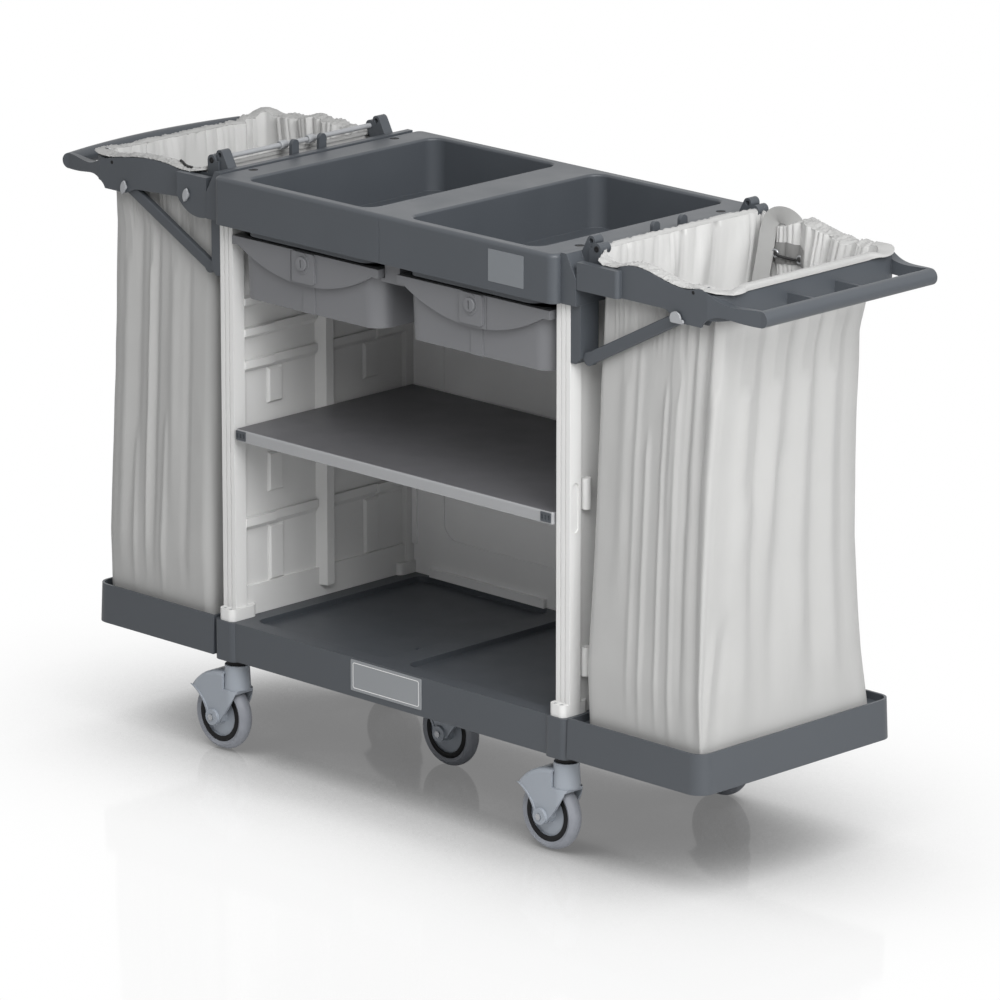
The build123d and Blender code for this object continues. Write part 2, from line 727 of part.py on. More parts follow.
def holder_frame(side):
    """Two arms, an end wall with two webs, and the push bar, straight or bowed."""
    end_x, bar_z = out(bar_out[side], bar_drop[side])
    body = front_and_back(arm(side))
    wall_x, wall_top = out(end_wall_out, end_wall_drop[side][0])
    wall_low = rod_z - end_wall_drop[side][1]
    x1 = wall_x + end_wall_t
    x0 = x1 - end_wall_r
    far = x1 - 3 * end_wall_r
    ring = rounded(far, x1, -arm_out, arm_out, end_wall_r)
    ring -= rounded(far, wall_x, -arm_in, arm_in, end_wall_r / 2)
    ring &= Pos(x0, 0) * Rectangle(end_wall_r, 2 * arm_out, align=(Align.MIN, Align.CENTER))
    body += prism(ring, wall_low, wall_top)
    web = Polygon((x1, wall_top - web_drop), (x1, wall_low + web_half), (end_x, bar_z - web_half),
                  (end_x, bar_z + bar_r / 2), align=None)
    for y in (-web_y, web_y):
        body += slab(web, y - web_t / 2, y + web_t / 2)
    if side == "right":
        return body + disc(end_x, bar_z, bar_r, -bar_half, bar_half)
    path = ThreePointArc((end_x, -bar_half, bar_z), (end_x + bow, 0, bar_z), (end_x, bar_half, bar_z))
    start = Plane(origin=path @ 0, z_dir=path % 0)
    return to_left(body + sweep(start * Circle(bar_r), path))


def hook(shape, x, z, face_y):
    """A hook's plate, drawn about its neck, held off the arm's face."""
    y0 = face_y - hook_neck
    return slab(Pos(x, z) * shape, y0 - hook_t, y0) + disc(x, z, hook_neck_r, y0, face_y)


def half_disc():
    upper = Rectangle(2 * hook_r, 2 * hook_r, align=(Align.CENTER, Align.MIN))
    tongue = Pos(hook_tongue[1] / 2, -2 * hook_lip) * SlotOverall(*hook_tongue)
    return (Circle(hook_r) & Pos(0, -hook_lip) * upper) + tongue


def claw():
    """A leaf of two arcs, leaning over its lower tip."""
    half = claw_w / 2
    left = ThreePointArc((0, claw_h / 2), (-half, 0), (0, -claw_h / 2))
    right = ThreePointArc((0, -claw_h / 2), (half, 0), (0, claw_h / 2))
    return Rot(0, 0, claw_tilt) * make_face([left, right])


def hooks(side):
    pin = disc(strut_pin_x, strut_pin_z, strut_pin_r, -arm_out, -arm_in)
    if side == "right":
        return front_and_back(hook(half_disc(), strut_pin_x, strut_pin_z, -arm_out) + pin)
    body = hook(claw(), strut_pin_x, strut_pin_z, -arm_out) + pin
    body += hook(claw(), *out(*ear_hook), -arm_out - ear_bulge)
    return to_left(front_and_back(body))


def strut():
    dx = strut_pin_x - strut_foot_x
    dz = strut_pin_z - strut_foot_z
    y0 = strut_side - channel_y[1]
    y1 = y0 + strut_t
    foot = Plane(origin=(strut_foot_x, (y0 + y1) / 2, strut_foot_z), x_dir=(0, 1, 0), z_dir=(dx, 0, dz))
    body = extrude(foot * RectangleRounded(strut_t, 2 * strut_r, strut_round), math.hypot(dx, dz))
    body += disc(strut_pin_x, strut_pin_z, strut_r, y0, y1)
    body += disc(strut_foot_x, strut_foot_z, strut_foot_r, y0, y1)
    return body - disc(strut_pin_x, strut_pin_z, strut_pin_r + turn_clear, y0, y1)


def bag():
    """An open bag, drawn in at the mouth and fullest a little above the floor."""
    heights = (floor_z, floor_z + bag_belly, rod_z - bag_drop)
    rooms = (bag_floor, bag_floor, bag_mouth)

    def rings(inset, lift):
        for (x0, x1, y), (inner, outer, side), z in zip(rooms, bag_gaps, heights):
            y -= side + inset
            ring = rounded(x0 + inner + inset, x1 - outer - inset, -y, y, bag_r - inset)
            yield Pos(0, 0, z + (lift if z == floor_z else 0)) * ring

    return loft([*rings(0, 0)], ruled=True) - loft([*rings(bag_wall, bag_wall)], ruled=True)


def drawer_body():
    low = rail_z - tub_depth
    d = tub_draft

    def ring(inset, z):
        edge = rounded(tub_x[0] + inset, tub_x[1] - inset, inset - tub_front, tub_back - inset, tub_r - inset)
        return Pos(0, 0, z) * edge

    def tub(inset, z0):
        return loft([ring(inset + d, z0), ring(inset, rail_top)], ruled=True)

    y0 = front_t - front_y
    y1 = tub_back + rail_over
    body = block(drawer_in, drawer_out, y0, y1, rail_top - rail_t, rail_top)
    for x in (drawer_in, drawer_out - rail_t):
        body += block(x, x + rail_t, y0, y1, rail_z, rail_top)
    body += tub(0, low)
    band = rounded(drawer_mid - band_half, drawer_mid + band_half, low, rail_z - front_dip, band_out)
    body += slab(band, -tub_front - band_out + d, d + tub_wall - tub_front)
    return body - tub(tub_wall, low + tub_wall)


def drawer_front():
    x0 = tub_x[0] + front_dip_in
    x1 = tub_x[1] - front_dip_in
    dip = rail_z - front_dip
    sag = ThreePointArc((x1, rail_z), (drawer_mid, dip), (x0, rail_z))
    frame = Polyline((x0, rail_z), (drawer_in, rail_z), (drawer_in, rail_top), (drawer_out, rail_top),
                     (drawer_out, rail_z), (x1, rail_z))
    body = slab(make_face([sag, *frame.edges()]), -front_y, front_t - front_y)
    pad_low = dip + block_lift
    pad = rounded(drawer_mid - block_half, drawer_mid + block_half, pad_low, rail_top, block_r)
    face = -front_y - block_out
    body += slab(pad, face, -front_y)
    body += slab(Pos(drawer_mid, lock_z) * Ellipse(*lock_plate), face - lock_plate_t, face)
    body -= disc(drawer_mid, lock_z, lock_pin_r + turn_clear, face - lock_plate_t, front_t - front_y)
    seam = drawer_mid + block_half + seam_gap
    return body - block(seam, seam + seam_w, -front_y, seam_d - front_y, dip, rail_top)


def drawer_lock():
    face = -front_y - block_out - lock_plate_t
    body = disc(drawer_mid, lock_z, lock_r, face - lock_out, face - lock_gap)
    body = fillet(body.edges().group_by(Axis.Y)[0], lock_round)
    body += disc(drawer_mid, lock_z, lock_pin_r, face - lock_gap, front_t - front_y)
    width, length, depth = lock_slot
    slot = Pos(drawer_mid, lock_z) * Rectangle(width, length)
    return body - slab(slot, face - lock_out, face - lock_out + depth)


def drawer_hanger():
    y0 = hanger_set - front_y
    y1 = back_y - back_set
    flange = tub_x[0] - flange_clear
    roof = runner_z + hanger_h
    body = block(-hanger_half, hanger_half, y0, y1, runner_z, roof)
    hollow = hanger_half - hanger_wall
    body -= block(-hollow, hollow, y0, y1, runner_z, roof - hanger_wall)
    body += block(-flange, flange, y0, y1, runner_z - hanger_t, runner_z)
    for y in (y0, -hanger_tie / 2, y1 - hanger_tie):
        body += block(-hanger_tie_half, hanger_tie_half, y, y + hanger_tie, roof - hanger_wall,
                      tray_top - tray_wall)
    return body + block(-hanger_half, hanger_half, y0, y0 + hanger_face, runner_z, tray_bottom + hanger_face_rise)


def roof_line(inset):
    """The fender's roof from tail to crown, drawn in by the skin where asked."""
    tail = (-trail - tail_back, wheel_r + tail_rise - inset)
    high = (-trail - roof_back, wheel_r + roof_rise - inset)
    return ThreePointArc(tail, high, (-crown_back, wheel_r + crown_rise - inset))


def sole_end():
    """How far from the axle, and how high, the leg's edges meet the round pad."""
    turn = math.radians(sole_angle)
    return boss_r * math.cos(turn), wheel_r - boss_r * math.sin(turn)


def back_edge(shift):
    """The back edge of a cheek, from the boss up to the tail."""
    foot, low = sole_end()
    low = (-trail - foot + shift, low)
    bend = (-trail - leg_bend + shift, wheel_r + leg_bend)
    return ThreePointArc(low, bend, (-trail - tail_back + shift, wheel_r + tail_rise))


def fork_outline():
    roof = roof_line(0)
    back = back_edge(0)
    foot, low = sole_end()
    housing_low = fork_top - housing_h
    neck = (-crown_back, housing_low)
    front = (housing_low_r - fork_skin, housing_low)
    shin = ThreePointArc(front, (leg_bend - trail, wheel_r + boss_r), (foot - trail, low))
    sole = ThreePointArc((foot - trail, low), (-trail, wheel_r - boss_r), back @ 0)
    return make_face([roof, Line(roof @ 1, neck), Line(neck, front), shin, sole, back])


def caster_fork():
    half = cheek_in + cheek
    body = slab(fork_outline(), -half, half)
    body = fillet(body.edges().filter_by(GeomType.CIRCLE).group_by(Axis.Z)[-1], fork_round)
    plan = Circle(half) + Rectangle(trail + tail_back, 2 * half, align=(Align.MAX, Align.CENTER))
    body &= prism(plan, 0, fork_top)
    roof = roof_line(fork_skin)
    hollow = Polyline(roof @ 1, (-crown_back, wheel_r), ((roof @ 0).X, wheel_r), roof @ 0)
    body -= slab(make_face([roof, *hollow.edges()]), -cheek_in, cheek_in)
    housing = Cone(housing_low_r, housing_top_r, housing_h, align=(Align.CENTER, Align.CENTER, Align.MIN))
    body += Pos(0, 0, fork_top - housing_h) * housing
    body -= disc(-trail, wheel_r, wheel_r + fender_gap, -cheek_in, cheek_in)
    edge, inner = back_edge(0), back_edge(fork_lip_w)
    lip = make_face([edge, inner, Line(edge @ 0, inner @ 0), Line(edge @ 1, inner @ 1)])
    boss = Pos(-trail, wheel_r) * Circle(boss_r)
    side = slab(lip & fork_outline(), -half - fork_lip, -half) + slab(boss, -half - boss_out, -half)
    body += front_and_back(side)
    body -= disc(-trail, wheel_r, axle_r, -half - boss_out, half + boss_out)
    return body - prism(Circle(stem_r + turn_clear), fork_top - stem_depth - slide_clear, fork_top)


def caster_axle():
    face = cheek_in + cheek + boss_out
    body = disc(-trail, wheel_r, axle_r, -face, face)
    head = Pos(-trail, wheel_r) * RegularPolygon(bolt_r, 6)
    return body + front_and_back(slab(head, -face - bolt_head, -face))


def turned(section):
    """A wheel piece turned about the axle from its section of radius and width."""
    return Pos(-trail, 0, wheel_r) * revolve(Plane.XY * section, Axis.Y)


def caster_hub():
    ring = rim_r - hub_ring
    right = [(axle_r + turn_clear, hub_boss_half), (hub_boss_r, hub_boss_half), (hub_boss_r, hub_web),
             (ring, hub_web), (ring, hub_half), (rim_r, hub_half)]
    left = [(r, -w) for r, w in reversed(right)]
    return turned(make_face(Polyline(*right, *left, close=True)))


def caster_tyre():
    side = (rim_r, hub_half), (shoulder_r, tyre_half)
    tread = ThreePointArc(side[1], (wheel_r, 0), (shoulder_r, -tyre_half))
    rest = Polyline(tread @ 1, (rim_r, -hub_half), side[0], side[1])
    return turned(make_face([tread, *rest.edges()]))


def stem(x, y):
    body = prism(Circle(stem_r), fork_top - stem_depth, pillar_low + stem_seat)
    body += prism(Circle(collar_r), fork_top + side_clear, pillar_low)
    return Pos(x, y) * body


def save(name, shape):
    export_step(shape, "parts/" + name + ".step")


def main():
    os.makedirs("parts", exist_ok=True)
    save("base_tray", base_tray())
    save("back_panel", back_panel())
    save("shelf", shelf())
    save("shelf_end_caps", shelf_end_caps())
    save("top_tray", top_tray())
    save("drawer_hanger", drawer_hanger())
    pairs = {"platform": platform(), "side_panel": side_panel(), "end_strip": end_strip(),
             "brackets": brackets(), "rod": rod(), "bag": bag(), "strut_front": strut(),
             "strut_back": to_back(strut()), "drawer_body": drawer_body(),
             "drawer_front": drawer_front(), "drawer_lock": drawer_lock()}
    for name, piece in pairs.items():
        save("right_" + name, piece)
        save("left_" + name, to_left(piece))
    for side in ("left", "right"):
        save(side + "_holder_frame", holder_frame(side))
        save(side + "_hooks", hooks(side))
    places = {"front_left": (-stem_x, -stem_y), "front_right": (stem_x, -stem_y),
              "back_left": (-stem_x, stem_y), "back_right": (stem_x, stem_y),
              "centre": (centre_stem_x, 0)}
    stems = [stem(x, y) for x, y in places.values()]
    save("caster_stems", Compound(children=stems))
    wheel = {"fork": caster_fork(), "axle": caster_axle(), "hub": caster_hub(), "tyre": caster_tyre()}
    for where, (x, y) in places.items():
        for name, piece in wheel.items():
            save(where + "_" + name, Pos(x, y) * piece)


main()
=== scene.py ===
import json
import math

import bmesh
import bpy
import numpy as np
from mathutils import Matrix, Vector, noise
from mathutils.bvhtree import BVHTree

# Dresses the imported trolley: finishes on its parts, cloth bags, small fittings, plain studio.
# Metres in the trolley's own frame: X along its length, -Y the open front, Z up.
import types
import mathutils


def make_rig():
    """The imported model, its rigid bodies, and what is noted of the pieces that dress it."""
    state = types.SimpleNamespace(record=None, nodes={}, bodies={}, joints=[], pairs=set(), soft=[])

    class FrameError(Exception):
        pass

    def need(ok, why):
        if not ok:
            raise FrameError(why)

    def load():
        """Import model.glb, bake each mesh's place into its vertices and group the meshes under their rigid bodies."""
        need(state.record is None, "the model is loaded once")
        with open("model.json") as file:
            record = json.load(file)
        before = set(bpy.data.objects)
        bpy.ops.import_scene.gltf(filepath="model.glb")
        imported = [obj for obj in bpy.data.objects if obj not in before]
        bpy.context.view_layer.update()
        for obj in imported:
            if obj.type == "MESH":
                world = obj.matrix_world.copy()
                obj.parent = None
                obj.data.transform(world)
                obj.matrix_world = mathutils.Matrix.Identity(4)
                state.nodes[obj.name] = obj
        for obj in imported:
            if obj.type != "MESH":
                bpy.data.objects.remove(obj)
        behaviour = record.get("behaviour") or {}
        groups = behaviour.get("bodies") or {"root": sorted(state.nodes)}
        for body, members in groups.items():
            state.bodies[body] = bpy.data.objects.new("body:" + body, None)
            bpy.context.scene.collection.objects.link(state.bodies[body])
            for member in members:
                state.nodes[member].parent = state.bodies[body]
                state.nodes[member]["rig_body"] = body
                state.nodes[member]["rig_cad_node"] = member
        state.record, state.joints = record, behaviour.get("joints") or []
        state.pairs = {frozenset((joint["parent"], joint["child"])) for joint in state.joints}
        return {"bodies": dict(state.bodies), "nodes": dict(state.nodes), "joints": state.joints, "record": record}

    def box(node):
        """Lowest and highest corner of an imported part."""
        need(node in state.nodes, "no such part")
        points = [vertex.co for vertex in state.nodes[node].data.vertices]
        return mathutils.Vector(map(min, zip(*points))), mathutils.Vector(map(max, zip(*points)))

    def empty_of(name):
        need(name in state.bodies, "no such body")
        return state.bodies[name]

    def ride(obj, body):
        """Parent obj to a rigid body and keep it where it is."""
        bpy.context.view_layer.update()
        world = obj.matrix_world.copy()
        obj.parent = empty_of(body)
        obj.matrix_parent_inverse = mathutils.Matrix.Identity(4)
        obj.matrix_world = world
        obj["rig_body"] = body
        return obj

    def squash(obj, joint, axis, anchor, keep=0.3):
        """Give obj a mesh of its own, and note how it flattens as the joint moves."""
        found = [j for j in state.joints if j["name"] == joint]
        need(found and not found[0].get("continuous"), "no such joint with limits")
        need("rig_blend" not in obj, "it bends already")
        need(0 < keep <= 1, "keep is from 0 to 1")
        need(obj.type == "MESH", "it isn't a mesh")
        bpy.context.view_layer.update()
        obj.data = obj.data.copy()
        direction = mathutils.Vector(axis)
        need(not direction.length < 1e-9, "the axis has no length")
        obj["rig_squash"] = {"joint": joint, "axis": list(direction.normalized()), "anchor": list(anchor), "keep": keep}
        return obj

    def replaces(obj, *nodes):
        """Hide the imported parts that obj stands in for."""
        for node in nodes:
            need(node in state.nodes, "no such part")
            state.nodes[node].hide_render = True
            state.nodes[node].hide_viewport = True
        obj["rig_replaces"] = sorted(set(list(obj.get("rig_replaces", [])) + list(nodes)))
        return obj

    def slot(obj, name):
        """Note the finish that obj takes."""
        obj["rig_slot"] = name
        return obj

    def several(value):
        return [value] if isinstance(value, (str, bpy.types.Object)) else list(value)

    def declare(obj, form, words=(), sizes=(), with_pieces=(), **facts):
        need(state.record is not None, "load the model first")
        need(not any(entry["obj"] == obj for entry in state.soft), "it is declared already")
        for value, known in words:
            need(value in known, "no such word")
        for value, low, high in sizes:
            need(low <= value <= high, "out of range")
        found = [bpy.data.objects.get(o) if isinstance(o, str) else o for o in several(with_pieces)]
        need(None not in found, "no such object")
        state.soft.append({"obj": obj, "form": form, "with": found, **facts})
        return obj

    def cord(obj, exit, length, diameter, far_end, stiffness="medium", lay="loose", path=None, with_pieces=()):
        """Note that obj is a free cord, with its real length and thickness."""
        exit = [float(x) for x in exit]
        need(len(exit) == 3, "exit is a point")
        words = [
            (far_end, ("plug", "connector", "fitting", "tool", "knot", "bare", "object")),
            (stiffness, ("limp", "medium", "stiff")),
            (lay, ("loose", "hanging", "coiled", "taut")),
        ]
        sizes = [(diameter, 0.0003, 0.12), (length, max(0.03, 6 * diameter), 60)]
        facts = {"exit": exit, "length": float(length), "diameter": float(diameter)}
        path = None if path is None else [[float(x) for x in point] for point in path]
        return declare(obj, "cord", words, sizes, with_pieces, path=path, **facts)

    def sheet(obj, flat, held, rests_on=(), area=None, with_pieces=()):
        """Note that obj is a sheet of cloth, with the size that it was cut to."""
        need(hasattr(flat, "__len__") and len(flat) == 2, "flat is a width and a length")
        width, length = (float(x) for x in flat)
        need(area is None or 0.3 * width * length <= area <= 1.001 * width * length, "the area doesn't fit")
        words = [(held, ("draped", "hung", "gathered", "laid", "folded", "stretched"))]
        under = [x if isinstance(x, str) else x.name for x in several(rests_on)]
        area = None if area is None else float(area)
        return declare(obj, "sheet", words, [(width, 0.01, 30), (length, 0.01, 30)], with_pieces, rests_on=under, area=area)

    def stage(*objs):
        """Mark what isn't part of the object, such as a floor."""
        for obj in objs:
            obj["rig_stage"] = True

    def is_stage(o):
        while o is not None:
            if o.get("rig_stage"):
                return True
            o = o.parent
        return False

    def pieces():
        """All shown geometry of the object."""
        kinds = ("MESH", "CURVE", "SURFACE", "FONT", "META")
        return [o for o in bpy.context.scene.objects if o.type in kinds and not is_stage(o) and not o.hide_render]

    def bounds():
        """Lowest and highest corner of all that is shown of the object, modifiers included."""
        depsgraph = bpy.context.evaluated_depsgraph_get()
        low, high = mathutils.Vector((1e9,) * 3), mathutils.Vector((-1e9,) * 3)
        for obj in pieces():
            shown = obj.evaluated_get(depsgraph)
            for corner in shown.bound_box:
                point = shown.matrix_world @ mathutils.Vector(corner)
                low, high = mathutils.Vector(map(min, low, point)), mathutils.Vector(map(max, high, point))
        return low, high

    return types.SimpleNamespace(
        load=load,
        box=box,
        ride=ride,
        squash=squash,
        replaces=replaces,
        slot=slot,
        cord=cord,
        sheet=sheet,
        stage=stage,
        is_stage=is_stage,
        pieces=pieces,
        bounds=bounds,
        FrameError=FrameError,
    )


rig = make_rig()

bl_info = {
    "name": "Housekeeping trolley dressing",
    "version": (1, 0, 0),
    "blender": (4, 5, 0),
    "location": "View3D > Sidebar > Trolley",
    "description": "Finishes, cloth bags, small fittings and a plain studio for the housekeeping trolley",
    "category": "Object",
}

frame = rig.load()
CAD_BOX = [list(corner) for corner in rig.bounds()]

MM = 0.001
WHITE = (1.0, 1.0, 1.0, 1.0)
SIDES = {"left": -1, "right": 1}
CORNERS = ("front_left", "front_right", "back_left", "back_right")
WHEELS = CORNERS + ("centre",)


def hex_linear(text):
    """An sRGB hex value as a linear colour with alpha."""
    parts = [int(text[i:i + 2], 16) / 255 for i in (1, 3, 5)]
    return tuple(c / 12.92 if c <= 0.04045 else ((c + 0.055) / 1.055) ** 2.4 for c in parts) + (1.0,)


def colour_property(name, description, text):
    return bpy.props.FloatVectorProperty(name=name, description=description, subtype="COLOR", size=4,
                                         min=0, max=1, default=hex_linear(text))


def length_property(name, description, millimetres):
    return bpy.props.FloatProperty(name=name, description=description, default=millimetres * MM, min=0,
                                   unit="LENGTH", precision=4)


class TrolleyColours(bpy.types.PropertyGroup):
    slate: colour_property("Slate plastic", "Tray, base, platforms and bag holders", "#474b50")
    panel: colour_property("Panel white", "Side panels", "#d8d8d7")
    back: colour_property("Back panel", "Panel behind the shelf", "#ececec")
    shelf_top: colour_property("Shelf face", "Laminate on the shelf's top", "#626265")
    shelf_edge: colour_property("Shelf edge", "Band round the shelf", "#9a9b9d")
    drawer: colour_property("Drawer grey", "Drawer tubs, fronts and locks", "#6f7073")
    trim: colour_property("Light trim", "Hooks and bag rods", "#9a9c9f")
    cloth: colour_property("Bag cloth", "Coated nylon of both bags", "#acacab")
    # Painted light: the same bag cloth drawn paler for the bags' insides and hems
    coating: colour_property("Cloth coating", "Paler coated inside of both bags", "#cacac9")
    caster: colour_property("Caster grey", "Forks and wheel centres", "#959ba3")
    tyre: colour_property("Tyre grey", "Non-marking tyre rubber", "#83868d")
    black: colour_property("Black", "Thread guards, plugs and lacing", "#141415")
    steel: colour_property("Steel", "Stems, axles and bolts", "#b4b6b9")
    plate: colour_property("Bare plate", "Plate on the base's front", "#8b8e91")
    line: colour_property("Plate line", "Fine raised border on the plate", "#e6e6e6")
    label: colour_property("Bare label", "Label on the tray's front", "#73777b")
    floor: colour_property("Floor", "Studio floor", "#e9e9e9")


class TrolleySizes(bpy.types.PropertyGroup):
    cloth: length_property("Cloth thickness", "Thickness of the bag cloth with its coating", 1.0)
    ruffle: length_property("Hem ruffle", "Height of the gathers along the hem", 4.0)
    stitch: length_property("Stitch pitch", "Spacing of the stitches along the hem", 7.0)
    crinkle: length_property("Cloth crinkle", "Depth of the small creases in the cloth", 1.3)
    weave: length_property("Weave pitch", "Spacing of the threads as drawn", 1.6)
    grain: length_property("Plastic grain", "Grain of the moulded plastics as drawn", 2.0)
    edge: length_property("Edge round", "Rounding that the moulds leave on edges", 1.2)


def colours():
    return bpy.context.scene.trolley_colours


def sizes():
    return bpy.context.scene.trolley_sizes


def add(tree, kind, inputs=None, **settings):
    """Adds one node: settings go on it, inputs are values or sockets to link."""
    node = tree.nodes.new(kind)
    for key, value in settings.items():
        setattr(node, key, value)
    for key, value in (inputs or {}).items():
        if isinstance(value, bpy.types.NodeSocket):
            tree.links.new(value, node.inputs[key])
        else:
            node.inputs[key].default_value = value
    return node


def new_material(name):
    material = bpy.data.materials.new(name)
    material.use_nodes = True
    material.node_tree.nodes.clear()
    return material, material.node_tree


def shade(colour, factor):
    return tuple(min(1.0, c * factor) for c in colour[:3]) + (1.0,)


def noise_of(tree, vector, size, detail, distortion=0.0):
    """Noise value whose features are about that many metres wide."""
    return add(tree, "ShaderNodeTexNoise", {"Vector": vector, "Scale": 1 / size, "Detail": detail,
                                            "Distortion": distortion}).outputs[0]


def remap(tree, value, old, new, kind="LINEAR"):
    """A value carried from its old range to a new one, held to the ends."""
    return add(tree, "ShaderNodeMapRange", {
        "Value": value, "From Min": old[0], "From Max": old[1], "To Min": new[0], "To Max": new[1]},
        interpolation_type=kind).outputs[0]


def mixed(tree, share, first, second, kind="MIX"):
    """The colour that share of the way from the first to the second."""
    return add(tree, "ShaderNodeMix", {0: share, 6: first, 7: second}, data_type="RGBA",
               blend_type=kind).outputs[2]


def bumped(tree, height, depth, strength=1.0, base=None):
    """A normal roughened by a height value, depth in mm, over another normal if one is given."""
    inputs = {"Strength": strength, "Distance": depth * MM, "Height": height}
    if base is not None:
        inputs["Normal"] = base
    return add(tree, "ShaderNodeBump", inputs).outputs[0]


def surface(tree, inputs):
    """Ends a material in one surface with those inputs."""
    shader = add(tree, "ShaderNodeBsdfPrincipled", inputs)
    add(tree, "ShaderNodeOutputMaterial", {"Surface": shader.outputs[0]})


NOISE_RANGE = (0.3, 0.7)  # where nearly all of a noise's values lie
WAVE_PERIOD = 0.314  # metres from band to band of a wave texture at scale 1


def moulded(name, colour, roughness, pale=1.5, cloud=0.05, grain_depth=0.06, bands=None, shine=0.4):
    """Injection-moulded plastic: fine spark-eroded grain, cloudy colour, edges paler from wear and painted highlight.
    bands is a second colour for faces that look up, such as a laminate's face over its edge band."""
    material, tree = new_material(name)
    place = add(tree, "ShaderNodeTexCoord").outputs["Object"]
    facing = add(tree, "ShaderNodeNewGeometry").outputs["True Normal"]
    grain = noise_of(tree, place, sizes().grain, 2.0)
    clouds = noise_of(tree, place, 0.11, 4.0)
    rounded = add(tree, "ShaderNodeBevel", {"Radius": sizes().edge}, samples=4).outputs[0]
    turn = add(tree, "ShaderNodeVectorMath", {0: rounded, 1: facing}, operation="DOT_PRODUCT")
    # paler colour on rounded edges: rubbed wear and a painted edge highlight
    wear_and_edge_highlight = remap(tree, turn.outputs["Value"], (0.985, 0.75), (0.0, 0.45))
    body = mixed(tree, clouds, shade(colour, 1 - cloud), shade(colour, 1 + cloud))
    if bands:
        up = add(tree, "ShaderNodeSeparateXYZ", {0: facing}).outputs["Z"]
        top = add(tree, "ShaderNodeMath", {0: up, 1: 0.8}, operation="GREATER_THAN")
        body = mixed(tree, top.outputs[0], body, tuple(bands))
    surface(tree, {
        "Base Color": mixed(tree, wear_and_edge_highlight, body, shade(colour, pale)),
        "Roughness": remap(tree, clouds, NOISE_RANGE, (roughness - 0.05, roughness + 0.05)),
        "Normal": bumped(tree, grain, grain_depth, base=rounded), "IOR": 1.5, "Specular IOR Level": shine})
    return material


def metal(name, colour, roughness, stroke):
    """Turned or drawn steel: fine tool marks round the axis that vary its gloss."""
    material, tree = new_material(name)
    place = add(tree, "ShaderNodeTexCoord").outputs["Object"]
    squeeze = add(tree, "ShaderNodeMapping", {"Vector": place, "Scale": (1.0, 0.12, 1.0)})
    marks = noise_of(tree, squeeze.outputs[0], stroke, 3.0)
    surface(tree, {
        "Base Color": mixed(tree, marks, shade(colour, 0.85), tuple(colour)), "Metallic": 1.0,
        "Roughness": remap(tree, marks, NOISE_RANGE, (roughness - 0.08, roughness + 0.1)),
        "Normal": bumped(tree, marks, 0.03)})
    return material


def rubber(name, colour, roughness):
    """Moulded tyre rubber: dull, with dusty paler patches and small scuffs."""
    material, tree = new_material(name)
    place = add(tree, "ShaderNodeTexCoord").outputs["Object"]
    dust = remap(tree, noise_of(tree, place, 0.03, 5.0), (0.35, 0.75), (0.0, 1.0))
    scuffs = noise_of(tree, place, 0.0022, 3.0)
    surface(tree, {
        "Base Color": mixed(tree, dust, shade(colour, 0.93), shade(colour, 1.09)), "IOR": 1.52,
        "Roughness": remap(tree, scuffs, NOISE_RANGE, (roughness - 0.06, roughness + 0.08)),
        "Normal": bumped(tree, scuffs, 0.06)})
    return material


def woven(name, colour, roughness, weave_depth):
    """Coated nylon cloth: plain weave along its own UV, soft sheen, faint handling creases.
    The real threads are about 0.3 mm apart and are drawn coarser, at the weave pitch, to show."""
    material, tree = new_material(name)
    spread = add(tree, "ShaderNodeUVMap", uv_map="cloth").outputs[0]
    place = add(tree, "ShaderNodeTexCoord").outputs["Object"]
    across, along = (
        add(tree, "ShaderNodeTexWave", {"Vector": spread, "Scale": WAVE_PERIOD / sizes().weave},
            wave_type="BANDS", bands_direction=way, wave_profile="SIN").outputs["Fac"] for way in "XY")
    threads = add(tree, "ShaderNodeMath", {0: across, 1: along}, operation="MULTIPLY").outputs[0]
    stretch = add(tree, "ShaderNodeMapping", {"Vector": spread, "Scale": (1.0, 0.35, 1.0)})
    creases = bumped(tree, noise_of(tree, stretch.outputs[0], 0.045, 4.0, 0.6), 1.6, 0.55)
    tone = mixed(tree, noise_of(tree, place, 0.2, 3.0), shade(colour, 0.96), shade(colour, 1.04))
    thread_tone = remap(tree, threads, (0.0, 1.0), (0.97, 1.02))
    surface(tree, {
        "Base Color": mixed(tree, 1.0, tone, thread_tone, "MULTIPLY"), "Roughness": roughness, "IOR": 1.46,
        "Normal": bumped(tree, threads, weave_depth, 0.6, creases),
        "Specular IOR Level": 0.3, "Sheen Weight": 0.12, "Sheen Roughness": 0.5})
    return material


